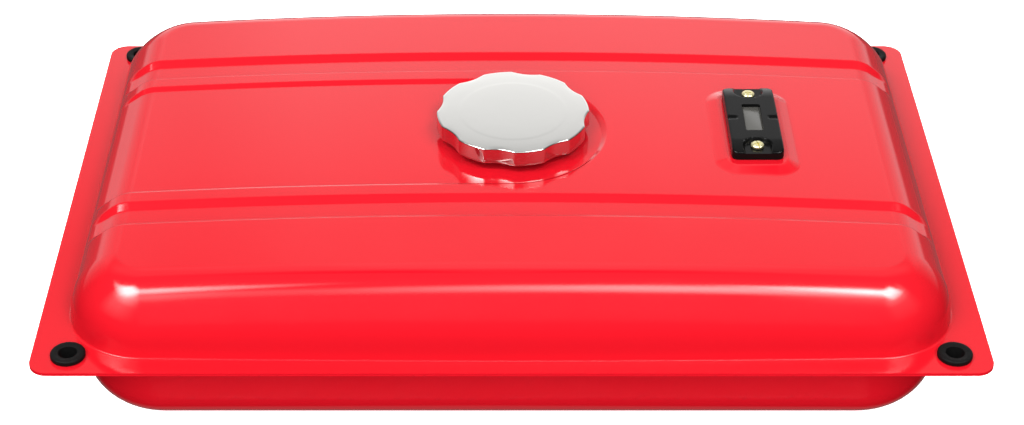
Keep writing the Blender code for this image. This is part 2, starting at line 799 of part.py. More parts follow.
def make_cap_seal(collection, axis, rubber, zinc):
    """The gasket that lies on the neck's lip and the plate that presses it down."""
    levels = cap_levels()
    low = levels["gasket"]
    gasket = [
        (LIP_BORE, low + GASKET_THICKNESS),
        (NECK_RADIUS, low + GASKET_THICKNESS),
        (NECK_RADIUS, low),
        (LIP_BORE, low),
    ]
    finish(turned("cap_gasket", gasket, collection), rubber, axis, smooth=False)
    low = levels["plate"]
    plate = [
        (RIVET_BORE, low + PRESSURE_PLATE),
        (NECK_RADIUS, low + PRESSURE_PLATE),
        (NECK_RADIUS, low),
        (RIVET_BORE, low),
    ]
    finish(turned("cap_pressure_plate", plate, collection), zinc, axis, smooth=False)


def lock_outline():
    """A hub with two tabs that pass the neck's notches."""
    half = TAB_WIDTH / 2
    corner = TAB_REACH - TAB_CORNER
    spread = math.asin(half / LOCK_HUB_RADIUS)
    quarter = math.pi / 2
    right = arc((0, 0), LOCK_HUB_RADIUS, spread - quarter, quarter - spread, SMALL_STEPS)
    tab = arc((half - TAB_CORNER, corner), TAB_CORNER, 0, quarter, FILLET_STEPS + 1)
    upper = right + tab + [(-x, y) for x, y in reversed(tab)]
    return upper + [(-x, -y) for x, y in right] + [(-x, -y) for x, y in tab] + [
        (x, -y) for x, y in reversed(tab)
    ]


def spring_height(x, y):
    """Height of the leaf spring above its ends: a bow that is highest in the middle."""
    return SPRING_SHEET + SPRING_BOW * (1 - (2 * x / SPRING_LENGTH) ** 2)


def make_cap_lock(collection, axis, zinc, steel, foam):
    """What turns with the cap: leaf spring, vent disc, rivet and lock plate."""
    levels = cap_levels()
    outline = rounded_rectangle(SPRING_LENGTH / 2, SPRING_WIDTH / 2, SPRING_CORNER, run=SPRING_RUN)
    hole = circle((0, 0), RIVET_BORE, SMALL_STEPS)
    spring = pressed_sheet("cap_spring", [outline], [], [hole], spring_height, SPRING_SHEET, collection)
    spring.location.z = levels["spring"]
    finish(spring, steel, axis)
    low = levels["vent"]
    vent = [
        (RIVET_BORE, low + VENT_THICKNESS),
        (VENT_RADIUS, low + VENT_THICKNESS),
        (VENT_RADIUS, low),
        (RIVET_BORE, low),
    ]
    finish(turned("cap_vent_disc", vent, collection), foam, axis, smooth=False)
    lock_low = NECK_TOP - NECK_SHEET - GAP - LOCK_PLATE
    outlines = [lock_outline(), circle((0, 0), RIVET_BORE, SMALL_STEPS)]
    lock = flat_plate("cap_lock_plate", outlines, LOCK_PLATE, collection, (0, 0, lock_low))
    finish(lock, zinc, axis)
    head_low = lock_low - GAP - RIVET_HEAD
    rivet = [
        (0, levels["rivet"] + RIVET_HEAD),
        (RIVET_HEAD_RADIUS, levels["rivet"] + RIVET_HEAD),
        (RIVET_HEAD_RADIUS, levels["rivet"]),
        (RIVET_RADIUS, levels["rivet"]),
        (RIVET_RADIUS, head_low + RIVET_HEAD),
        (RIVET_HEAD_RADIUS, head_low + RIVET_HEAD),
        (RIVET_HEAD_RADIUS, head_low),
        (0, head_low),
    ]
    finish(turned("cap_rivet", rivet, collection, closed=False, steps=HOLE_STEPS), zinc, axis, smooth=False)


def make_gauge_housing(collection, cutters, base, plastic):
    """The moulded cover: falling ends scooped round the screws, window, notches and chamber."""
    outline = rounded_rectangle(HOUSING_WIDTH / 2, HOUSING_LENGTH / 2, HOUSING_CORNER)
    place = {"location": (0, 0, HOUSING_BOTTOM)}
    housing = solid_plate("gauge_housing", outline, HOUSING_HEIGHT, collection, **place)
    finish(housing, plastic, base)
    quarter = math.pi / 2
    across = HOUSING_WIDTH / 2 + OVERRUN
    for side in (-1, 1):
        fall = solid_plate(f"fall_cutter_{side}", fall_profile(), 2 * across, cutters)
        fall.rotation_euler = (quarter, 0, side * quarter)
        fall.location = (-side * across, 0, HOUSING_TOP)
        fall.parent = base
        combine(housing, fall)
    soften(housing, HOUSING_ROUND)
    window = rounded_rectangle(WINDOW_WIDTH / 2, WINDOW_LENGTH / 2, WINDOW_CORNER, steps=FILLET_STEPS)
    tools = [solid_plate("window_cutter", window, HOUSING_HEIGHT + OVERRUN, cutters, **place)]
    half_x = HOUSING_WIDTH / 2 - HOUSING_WALL
    chamber = rounded_rectangle(half_x, CHAMBER_LENGTH / 2, WINDOW_CORNER, steps=FILLET_STEPS)
    rise = HOUSING_HEIGHT - HOUSING_CEILING + OVERRUN
    low = (0, 0, HOUSING_BOTTOM - OVERRUN)
    tools.append(solid_plate("chamber_cutter", chamber, rise, cutters, location=low))
    for end, (_, y) in screw_places():
        side = math.copysign(1, y - GAUGE_Y)
        tools.append(scoop(f"scoop_cutter_{end}", side, cutters))
        hole = rod(f"screw_hole_{end}", SCREW_BORE, 2 * HOUSING_HEIGHT, cutters)
        hole.location = (0, y - GAUGE_Y, HOUSING_BOTTOM)
        tools.append(hole)
    for side in (-1, 1):
        notch = rod(f"thumb_cutter_{side}", THUMB_NOTCH_RADIUS, 2 * THUMB_NOTCH_LENGTH, cutters)
        notch.rotation_euler.y = math.pi / 2
        notch.location = (side * HOUSING_WIDTH / 2, 0, HOUSING_TOP + THUMB_NOTCH_RADIUS - THUMB_NOTCH_DEPTH)
        tools.append(notch)
    for tool in tools:
        tool.parent = base
        combine(housing, tool)


def fall_profile():
    """Side view of the space over a falling end: its lower side is an arc tangent to the flat top."""
    start = HOUSING_LENGTH / 2 - FALL_RUN
    radius = (FALL_RUN**2 + FALL_DEPTH**2) / (2 * FALL_DEPTH)
    quarter = math.pi / 2
    fall = arc((start, -radius), radius, quarter, quarter - math.asin(FALL_RUN / radius), FALL_STEPS)
    end = HOUSING_LENGTH / 2 + OVERRUN
    return fall + [(end, -FALL_DEPTH), (end, OVERRUN), (start, OVERRUN)]


def scoop(name, side, cutters):
    """The round-cornered pocket at one end of the housing; its floor carries a screw's head."""
    back = HOUSING_LENGTH / 2 - SCOOP_LENGTH
    end = HOUSING_LENGTH / 2 + OVERRUN + SCOOP_CORNER
    middle = (0, side * (back + end) / 2)
    rise = SCOOP_DEPTH + OVERRUN
    lean = SCOOP_SLOPE * rise / SCOOP_DEPTH
    pocket = bmesh.new()
    rings = []
    for spread, z in ((0, 0), (lean, rise)):
        half_x, half_y = SCOOP_WIDTH / 2 + spread, (end - back) / 2 + spread
        outline = rounded_rectangle(half_x, half_y, SCOOP_CORNER + spread, middle)
        rings.append([pocket.verts.new((x, y, z)) for x, y in outline])
    low, high = rings
    pocket.faces.new(low)
    pocket.faces.new(high)
    for i in range(len(low)):
        j = (i + 1) % len(low)
        pocket.faces.new((low[i], low[j], high[j], high[i]))
    bmesh.ops.recalc_face_normals(pocket, faces=pocket.faces)
    mesh = bpy.data.meshes.new(name)
    pocket.to_mesh(mesh)
    pocket.free()
    return new_object(name, mesh, cutters, location=(0, 0, HOUSING_TOP - SCOOP_DEPTH))


def make_gauge_lens(collection, base, clear):
    """The window's pane, under the housing's ceiling."""
    half_x, half_y = WINDOW_WIDTH / 2 + LENS_LAP, WINDOW_LENGTH / 2 + LENS_LAP
    outline = rounded_rectangle(half_x, half_y, WINDOW_CORNER, steps=FILLET_STEPS)
    place = (0, 0, LENS_TOP - LENS_THICKNESS)
    finish(flat_plate("gauge_lens", [outline], LENS_THICKNESS, collection, place), clear, base)


def make_gauge_gasket(collection, base, rubber):
    """The gasket between the pad and the housing, pierced for the float gear and the screws."""
    outline = rounded_rectangle(HOUSING_WIDTH / 2 - GAP, HOUSING_LENGTH / 2 - GAP, HOUSING_CORNER - GAP)
    hole = rounded_rectangle(
        GAUGE_HOLE_WIDTH / 2, GAUGE_HOLE_LENGTH / 2, GAUGE_HOLE_CORNER, steps=FILLET_STEPS
    )
    screws = [circle((0, y - GAUGE_Y), SCREW_BORE, SMALL_STEPS) for _, (_, y) in screw_places()]
    place = (0, 0, PAD_TOP + GAP)
    gasket = flat_plate("gauge_gasket", [outline, hole] + screws, GAUGE_GASKET, collection, place)
    finish(gasket, rubber, base)


def make_gauge_frame(collection, cutters, base, zinc):
    """The bracket in the housing's chamber, with two cheeks that carry the pivot pin."""
    half_x = HOUSING_WIDTH / 2 - HOUSING_WALL - GAP
    half_y = CHAMBER_LENGTH / 2 - GAP
    outline = rounded_rectangle(half_x, half_y, WINDOW_CORNER, steps=FILLET_STEPS)
    cheek_inner = DRUM_WIDTH / 2 + DRUM_CLEARANCE
    frame = solid_plate(
        "gauge_frame", outline, FRAME_SHEET, collection, location=(0, 0, HOUSING_BOTTOM)
    )
    finish(frame, zinc, base, smooth=False)
    top = HOUSING_BOTTOM + FRAME_SHEET / 2
    bottom = PIVOT_Z - CHEEK_TAIL
    for side in (-1, 1):
        cheek = box(
            f"cheek_{side}",
            (CHEEK_THICKNESS, CHEEK_WIDTH, top - bottom),
            cutters,
            location=(side * (cheek_inner + CHEEK_THICKNESS / 2), 0, (top + bottom) / 2),
        )
        cheek.parent = base
        combine(frame, cheek, "UNION")
    slot = box(
        "drum_slot_cutter",
        (2 * cheek_inner, 2 * DRUM_RADIUS, 2 * OVERRUN + FRAME_SHEET),
        cutters,
        location=(0, 0, HOUSING_BOTTOM + FRAME_SHEET / 2),
    )
    bore = rod("pin_bore_cutter", PIN_RADIUS + GAP, 2 * DRUM_RADIUS, cutters)
    bore.rotation_euler.y = math.pi / 2
    bore.location.z = PIVOT_Z
    for tool in (slot, bore):
        tool.parent = base
        combine(frame, tool)


def make_pivot_pin(collection, base, steel):
    """The headed pin through both cheeks."""
    half = DRUM_WIDTH / 2 + DRUM_CLEARANCE + CHEEK_THICKNESS + GAP
    profile = [
        (0, half + PIN_HEAD),
        (PIN_HEAD_RADIUS, half + PIN_HEAD),
        (PIN_HEAD_RADIUS, half),
        (PIN_RADIUS, half),
        (PIN_RADIUS, -half),
        (PIN_HEAD_RADIUS, -half),
        (PIN_HEAD_RADIUS, -half - PIN_HEAD),
        (0, -half - PIN_HEAD),
    ]
    pin = turned("gauge_pivot_pin", profile, collection, closed=False, steps=SMALL_STEPS)
    pin.location.z = PIVOT_Z
    pin.rotation_euler.y = math.pi / 2
    finish(pin, steel, base, smooth=False)


def make_float_gear(collection, cutters, pivot, nylon, steel, foam):
    """Indicator drum, wire arm, float and its two clips, drawn along +Y from the pivot."""
    half = DRUM_WIDTH / 2
    drum_profile = [
        (PIN_RADIUS + GAP, half),
        (DRUM_RADIUS - DRUM_BEVEL, half),
        (DRUM_RADIUS, half - DRUM_BEVEL),
        (DRUM_RADIUS, DRUM_BEVEL - half),
        (DRUM_RADIUS - DRUM_BEVEL, -half),
        (PIN_RADIUS + GAP, -half),
    ]
    across = {"rotation": (0, math.pi / 2, 0)}
    drum = finish(turned("gauge_drum", drum_profile, collection, **across), nylon, pivot)
    half = FLOAT_LENGTH / 2
    float_profile = [
        (0, half),
        (FLOAT_RADIUS - FLOAT_ROUND, half),
        (FLOAT_RADIUS, half - FLOAT_ROUND),
        (FLOAT_RADIUS, FLOAT_ROUND - half),
        (FLOAT_RADIUS - FLOAT_ROUND, -half),
        (0, -half),
    ]
    floating = turned(
        "float", float_profile, collection, closed=False, steps=HOLE_STEPS,
        location=(0, ARM_LENGTH, 0), **across
    )
    finish(floating, foam, pivot)
    along = {"rotation": (math.pi / 2, 0, 0)}
    socket = rod("drum_socket_cutter", ARM_RADIUS + GAP, DRUM_RADIUS, cutters, **along)
    socket.location.y = DRUM_SOCKET + DRUM_RADIUS / 2
    bore = rod("float_bore_cutter", ARM_RADIUS + GAP, 2 * FLOAT_RADIUS + 2 * OVERRUN, cutters, **along)
    bore.location.y = ARM_LENGTH
    for piece, tool in ((drum, socket), (floating, bore)):
        tool.parent = pivot
        combine(piece, tool)
    wire = bpy.data.curves.new("float_arm", "CURVE")
    wire.dimensions = "3D"
    wire.bevel_depth = ARM_RADIUS
    wire.bevel_resolution = 2
    wire.use_fill_caps = True
    spline = wire.splines.new("POLY")
    spline.points.add(1)
    spline.points[0].co = (0, DRUM_SOCKET + GAP, 0, 1)
    spline.points[1].co = (0, ARM_REACH, 0, 1)
    finish(new_object("float_arm", wire, collection), steel, pivot)
    clip_profile = [
        (ARM_RADIUS + GAP, CLIP_THICKNESS / 2),
        (CLIP_RADIUS, CLIP_THICKNESS / 2),
        (CLIP_RADIUS, -CLIP_THICKNESS / 2),
        (ARM_RADIUS + GAP, -CLIP_THICKNESS / 2),
    ]
    for name, side in (("inner", -1), ("outer", 1)):
        clip = turned(f"float_clip_{name}", clip_profile, collection, steps=SMALL_STEPS, **along)
        clip.location.y = ARM_LENGTH + side * (FLOAT_RADIUS + GAP + CLIP_THICKNESS / 2)
        finish(clip, steel, pivot, smooth=False)


def make_gauge_fasteners(collection, base, plated, zinc):
    """The two pan-head screws and the weld nuts under the pad."""
    seat = HOUSING_TOP - SCOOP_DEPTH + GAP
    nut_low = PAD_TOP - SHEET - GAP - NUT_HEIGHT
    tip = nut_low - SCREW_TAIL
    pan_head = [(SCREW_HEAD_RADIUS * r, seat + SCREW_HEAD * z) for r, z in PAN_HEAD_SHARES]
    profile = pan_head + [
        (SCREW_RADIUS, seat),
        (SCREW_RADIUS, tip),
        (0, tip),
    ]
    corner = NUT_WIDTH / 2 / math.cos(math.pi / NUT_SIDES)
    for name, (_, y) in screw_places():
        screw = turned(f"gauge_screw_{name}", profile, collection, closed=False, steps=SMALL_STEPS)
        screw.location.y = y - GAUGE_Y
        finish(screw, plated, base)
        place = (0, y - GAUGE_Y, nut_low)
        outlines = [circle((0, 0), corner, NUT_SIDES), circle((0, 0), SCREW_BORE, SMALL_STEPS)]
        finish(flat_plate(f"weld_nut_{name}", outlines, NUT_HEIGHT, collection, place), zinc, base)


def make_outlet_bung(collection, zinc):
    """The threaded bush welded under the pan's raised seat."""
    high = SUMP_RISE - GAP
    profile = [
        (BUNG_BORE, high + BUNG_REACH),
        (BUNG_RADIUS, high + BUNG_REACH),
        (BUNG_RADIUS, high),
        (BUNG_FLANGE_RADIUS, high),
        (BUNG_FLANGE_RADIUS, high - BUNG_FLANGE),
        (BUNG_BORE, high - BUNG_FLANGE),
    ]
    bung = turned("outlet_bung", profile, collection, steps=HOLE_STEPS, location=(SUMP_X, SUMP_Y, 0))
    finish(bung, zinc, smooth=False)


def empty(name, collection, location, rotation=(0, 0, 0)):
    """An empty that pieces hang from."""
    return new_object(name, None, collection, location, rotation)


def build():
    """Makes the whole tank."""
    for obj in list(bpy.data.objects):
        bpy.data.objects.remove(obj)
    tank = bpy.data.collections.new("fuel_tank")
    cutters = bpy.data.collections.new("fuel_tank_cutters")
    for collection in (tank, cutters):
        bpy.context.scene.collection.children.link(collection)
    paint = material("red_gloss_paint", RED_PAINT, 0.18, 0)
    rubber = material("black_rubber", BLACK_RUBBER, 0.6, 0)
    plastic = material("black_gloss_plastic", BLACK_PLASTIC, 0.2, 0)
    chrome = material("chrome_plate", CHROME, 0.08, 1)
    zinc = material("zinc_plated_steel", ZINC, 0.35, 1)
    plated = material("yellow_zinc_plate", YELLOW_ZINC, 0.3, 1)
    steel = material("spring_steel", ZINC, 0.25, 1)
    nylon = material("natural_nylon", NYLON, 0.45, 0)
    clear = material("clear_lens", CLEAR_LENS, 0.3, 0)
    foam = material("closed_cell_foam", FLOAT_FOAM, 0.7, 0)
    cap_axis = empty("cap_axis", tank, (CAP_X, 0, 0))
    gauge_base = empty("gauge_base", tank, (GAUGE_X, GAUGE_Y, 0))
    float_pivot = empty("float_pivot", tank, (GAUGE_X, GAUGE_Y, PIVOT_Z), (-ARM_REST, 0, 0))
    make_upper_shell(tank, paint)
    make_lower_shell(tank, paint)
    make_grommets(tank, rubber)
    make_filler_neck(tank, cutters, cap_axis, zinc)
    make_strainer(tank, cutters, cap_axis, nylon)
    make_cap_shell(tank, cap_axis, chrome)
    make_cap_seal(tank, cap_axis, rubber, zinc)
    make_cap_lock(tank, cap_axis, zinc, steel, foam)
    make_gauge_housing(tank, cutters, gauge_base, plastic)
    make_gauge_lens(tank, gauge_base, clear)
    make_gauge_gasket(tank, gauge_base, rubber)
    make_gauge_frame(tank, cutters, gauge_base, zinc)
    make_pivot_pin(tank, gauge_base, steel)
    make_float_gear(tank, cutters, float_pivot, nylon, steel, foam)
    make_gauge_fasteners(tank, gauge_base, plated, zinc)
    make_outlet_bung(tank, zinc)


build()
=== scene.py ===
"""Looks of a pressed steel fuel tank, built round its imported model.

Metres, +Z up, the origin on the flat bottom of the pan. The file is laid out as a Blender add-on
and is run as a script.
"""

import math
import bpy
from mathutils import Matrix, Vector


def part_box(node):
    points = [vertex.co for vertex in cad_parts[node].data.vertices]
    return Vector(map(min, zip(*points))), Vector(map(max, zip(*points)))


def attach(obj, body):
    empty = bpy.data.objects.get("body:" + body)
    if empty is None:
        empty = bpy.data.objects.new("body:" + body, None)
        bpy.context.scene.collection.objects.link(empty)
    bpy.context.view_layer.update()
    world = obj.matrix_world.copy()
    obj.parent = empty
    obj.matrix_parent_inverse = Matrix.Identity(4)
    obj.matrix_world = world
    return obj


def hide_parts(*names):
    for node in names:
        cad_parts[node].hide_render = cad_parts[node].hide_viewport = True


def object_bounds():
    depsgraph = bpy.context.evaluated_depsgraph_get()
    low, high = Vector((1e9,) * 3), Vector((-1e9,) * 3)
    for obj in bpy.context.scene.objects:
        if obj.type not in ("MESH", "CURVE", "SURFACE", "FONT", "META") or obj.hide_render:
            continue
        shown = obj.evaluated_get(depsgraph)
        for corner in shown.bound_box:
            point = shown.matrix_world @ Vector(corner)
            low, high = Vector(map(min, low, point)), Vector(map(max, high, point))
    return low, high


bl_info = {
    "name": "Fuel tank looks",
    "version": (1, 0, 0),
    "blender": (4, 5, 0),
    "location": "3D View > Sidebar > Fuel tank",
    "description": "Makes the painted shells, the filler, the gauge and the studio of a fuel tank",
    "category": "Object",
}

from collections import namedtuple

import bmesh
import bpy
import numpy as np
from bpy.props import FloatProperty, FloatVectorProperty, IntProperty, PointerProperty
from mathutils import Matrix, Vector
from mathutils.geometry import delaunay_2d_cdt

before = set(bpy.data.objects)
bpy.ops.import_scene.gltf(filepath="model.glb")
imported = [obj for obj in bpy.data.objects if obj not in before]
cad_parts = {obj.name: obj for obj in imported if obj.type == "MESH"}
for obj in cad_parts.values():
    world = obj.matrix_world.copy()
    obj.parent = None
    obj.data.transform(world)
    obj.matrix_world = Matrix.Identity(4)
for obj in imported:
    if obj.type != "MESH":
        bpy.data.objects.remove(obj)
CAD_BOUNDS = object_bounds()

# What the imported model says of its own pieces
UPPER_LOW, UPPER_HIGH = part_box("upper_shell")
NECK_LOW, NECK_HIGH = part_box("filler_neck")
CAP_LOW, CAP_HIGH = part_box("cap_shell")
BASKET_LOW, BASKET_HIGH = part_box("strainer_basket")
HOUSING_LOW, HOUSING_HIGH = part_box("gauge_housing")
LENS_LOW, LENS_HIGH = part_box("gauge_lens")
BUNG_LOW, BUNG_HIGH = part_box("outlet_bung")

# The grommets, and the gauge's screws with the turn of their cross in degrees
GROMMETS = ("front_left", "front_right", "rear_left", "rear_right")
SCREWS = {"front": 12, "rear": -8}

# Sizes that several pieces share
SHEET = 0.001
SEAM_GAP = 0.0003
FINE_EDGE = 0.0002
EDGE = 0.0003
BEND = 0.0006
FLANGE_TOP = UPPER_LOW.z + SHEET
LOWER_FLANGE_BOTTOM = FLANGE_TOP - 2 * SHEET - SEAM_GAP
CAP_X = (NECK_LOW.x + NECK_HIGH.x) / 2
GAUGE_X = (HOUSING_LOW.x + HOUSING_HIGH.x) / 2
GAUGE_Y = (HOUSING_LOW.y + HOUSING_HIGH.y) / 2

# How near points merge, how far apart a slope is measured and how finely a hole's edge is cut
MERGE = 0.000001
SLOPE_STEP = 0.00001
HOLE_STEP = 0.0008
HOLE_RUN = 0.004
HOLE_LEAST_STEPS = 6

# The share of a pressed step that each of its bends takes, and the values that most noise lies between
PRESS_ROUND_SHARE = 0.2
NOISE_LOW_SHARE, NOISE_HIGH_SHARE = 0.3, 0.7


def length(name, description, default):
    """A property that holds a length in metres."""
    return FloatProperty(name=name, description=description, default=default, unit="LENGTH", precision=4)


def angle(name, description, degrees):
    """A property that holds an angle."""
    return FloatProperty(name=name, description=description, default=math.radians(degrees), unit="ROTATION")


def linear(code):
    """The linear colour of an sRGB hex code."""
    shares = [int(code[i : i + 2], 16) / 255 for i in (1, 3, 5)]
    return tuple(s / 12.92 if s <= 0.04045 else ((s + 0.055) / 1.055) ** 2.4 for s in shares) + (1,)


def colour(name, description, code):
    """A property that holds a colour, given as an sRGB hex code."""
    return FloatVectorProperty(
        name=name, description=description, default=linear(code), size=4, subtype="COLOR", min=0, max=1
    )


class FuelTankShells(bpy.types.PropertyGroup):
    """Sizes of the two pressed shells."""

    flange_corner: length("Flange corner", "Radius of the flange's corners", 0.012)
    side_ledge: length("Side ledge", "Width of the upper flange at the ends", 0.0169)
    front_ledge: length("Front ledge", "Width of the upper flange at the front and rear", 0.0132)
    bow: length("Bow", "How far the long walls bow outwards in their middle", 0.0028)
    corner: length("Corner", "Plan radius of the upper shell's corners", 0.0531)
    fillet: length("Fillet", "Radius at the foot of the upper wall", 0.0015)
    draft: angle("Draft", "Lean of the upper wall", 7)
    shoulder: length("Shoulder", "Wide radius where the upper wall turns over", 0.054)
    crest: length("Crest", "Tighter radius where the shoulder meets the top", 0.020)
    crest_turn: angle("Crest turn", "Lean at which the shoulder's two radii meet", 37)
    crown: length("Crown", "Radius of the top along the tank", 4.4)
    relief_start: length("Relief start", "Distance from the wall's foot where the reliefs begin", 0.0071)
    relief_full: length("Relief full", "Distance from the wall's foot where the reliefs are full", 0.0211)
    groove_offset: length("Groove offset", "Distance of each groove from the middle", 0.090)
    groove_width: length("Groove width", "Width of a groove", 0.027)
    groove_depth: length("Groove depth", "Depth of a groove", 0.0037)
    groove_flank: length("Groove flank", "Width of a groove's slope", 0.0068)
    drain_radius: length("Drain radius", "Radius of the drain channel round the filler", 0.067)
    drain_end: length("Drain end", "Distance from the drain's round end's centre to the filler's axis", 0.003)
    drain_depth: length("Drain depth", "Depth of the drain channel", 0.0022)
    drain_flank: length("Drain flank", "Width of the drain channel's slope", 0.0045)
    pad_y: length("Pad Y", "Place of the gauge's raised pad behind the middle", 0.0015)
    pad_length: length("Pad length", "Length of the gauge's raised pad", 0.107)
    pad_width: length("Pad width", "Width of the gauge's raised pad", 0.058)
    pad_corner: length("Pad corner", "Corner radius of the gauge's raised pad", 0.017)
    pad_slope: length("Pad slope", "Width of the slope round the pad", 0.0095)
    pad_rise: length("Pad rise", "Height of the pad above the top", 0.003012)
    pad_run: length("Pad run", "Spacing of the points along the pad's slope", 0.005)
    opening_width: length("Opening width", "Width of the opening for the float's gear", 0.023)
    opening_length: length("Opening length", "Length of the opening for the float's gear", 0.040)
    opening_corner: length("Opening corner", "Corner radius of the opening for the float's gear", 0.004)
    screw_hole: length("Screw hole", "Radius of the holes for the gauge's screws", 0.0027)
    outlet_hole: length("Outlet hole", "Radius of the hole for the outlet's bush", 0.0093)
    pan_side_ledge: length("Pan side ledge", "Width of the lower flange at the ends", 0.018)
    pan_front_ledge: length("Pan front ledge", "Width of the lower flange at the front and rear", 0.016)
    pan_corner: length("Pan corner", "Plan radius of the pan's corners", 0.060)
    pan_fillet: length("Pan fillet", "Radius at the foot of the pan's wall", 0.003)
    pan_draft: angle("Pan draft", "Lean of the pan's wall", 4)
    pan_shoulder: length("Pan shoulder", "Radius where the pan's wall turns into its bottom", 0.034)
    seat_radius: length("Seat radius", "Radius of the raised seat round the outlet", 0.024)
    seat_slope: length("Seat slope", "Width of the slope round the outlet's seat", 0.007)
    seat_rise: length("Seat rise", "Height of the outlet's seat above the pan's bottom", 0.0045)
    grid: length("Grid", "Spacing of the points on the plain stretches", 0.010)


class FuelTankGrommets(bpy.types.PropertyGroup):
    """Sizes of the rubber grommets."""

    radius: length("Radius", "Outer radius", 0.011)
    neck: length("Neck", "Radius of the waist in the flange's hole", 0.0078)
    bore: length("Bore", "Radius of the bolt's bore", 0.0059)
    rise: length("Rise", "Height of each lip", 0.0035)
    dish: length("Dish", "Fall of the top towards the bore", 0.0004)
    round: length("Round", "Radius of the lips' edges", 0.0013)
    crest_round: length("Crest round", "Radius of the top's crest", 0.0010)


class FuelTankFiller(bpy.types.PropertyGroup):
    """Sizes of the filler cap, its neck and its strainer."""

    cap_radius: length("Cap radius", "Radius over the lobes", 0.0515)
    lobes: IntProperty(name="Lobes", description="Lobes round the cap", default=8, min=3)
    lobe_steps: IntProperty(name="Lobe steps", description="Facets in each lobe", default=32, min=8)
    scallop: length("Scallop", "Depth of the hollows between the lobes", 0.0026)
    arc_share: FloatProperty(
        name="Arc share", description="Share of each lobe that is a full arc", default=0.5, subtype="FACTOR"
    )
    first_crease: angle("First crease", "Angle of the first crease", -89.55)
    cap_sheet: length("Cap sheet", "Thickness of the cap's sheet", 0.0008)
    cap_rim: length("Cap rim", "Radius of the cap's top edge", 0.0008)
    dome: length("Dome", "Rise of the cap's top", 0.0001)
    dome_power: IntProperty(name="Dome power", description="How late the cap's top falls", default=6, min=2)
    panel_share: FloatProperty(
        name="Panel share", description="Raised panel's radius by the cap's", default=0.7, subtype="FACTOR"
    )
    panel_step: length("Panel step", "Rise at the edge of the raised panel", 0.00001)
    panel_slope: length("Panel slope", "Width of the slope round the raised panel", 0.0030)
    hem: length("Hem", "Radius of the rolled lower edge", 0.0007)
    hem_share: FloatProperty(
        name="Hem share", description="How far the hem bulges, by its radius", default=0.3, subtype="FACTOR"
    )
    hollow_share: FloatProperty(
        name="Hollow share", description="How far the hollows reach over the top, by their depth", default=2.2
    )
    neck_radius: length("Neck radius", "Outer radius of the neck", 0.031)
    neck_sheet: length("Neck sheet", "Thickness of the neck's sheet", 0.001)
    flange_radius: length("Flange radius", "Radius of the neck's soldered flange", 0.037)
    lip_bore: length("Lip bore", "Radius inside the neck's lip", 0.0255)
    ledge_bore: length("Ledge bore", "Radius inside the strainer's ledge", 0.0234)
    neck_round: length("Neck round", "Radius of the neck's top edge", 0.0009)
    neck_reach: length("Neck reach", "Reach of the neck below the drain's floor", 0.0083)
    notch_width: length("Notch width", "Width of the lip's two notches", 0.016)
    notch_reach: length("Notch reach", "Radius that the notches reach", 0.0283)
    notch_corner: length("Notch corner", "Corner radius of the notches", 0.002)
    basket_wall: length("Basket wall", "Thickness of the basket", 0.0008)
    basket_rim: length("Basket rim", "Radius of the basket's top edge", 0.0004)
    basket_foot: length("Basket foot", "Radius of the basket's lower edge", 0.0008)
    basket_hoop: length("Basket hoop", "Height of the basket's hoops", 0.006)
    basket_window: length("Basket window", "Width of the basket's windows", 0.015)
    basket_arms: IntProperty(name="Basket arms", description="Pairs of windows", default=3, min=1)
    net_pitch: length("Net pitch", "Spacing of the net's threads", 0.0012)
    net_thread: length("Net thread", "Radius of the net's threads", 0.00022)


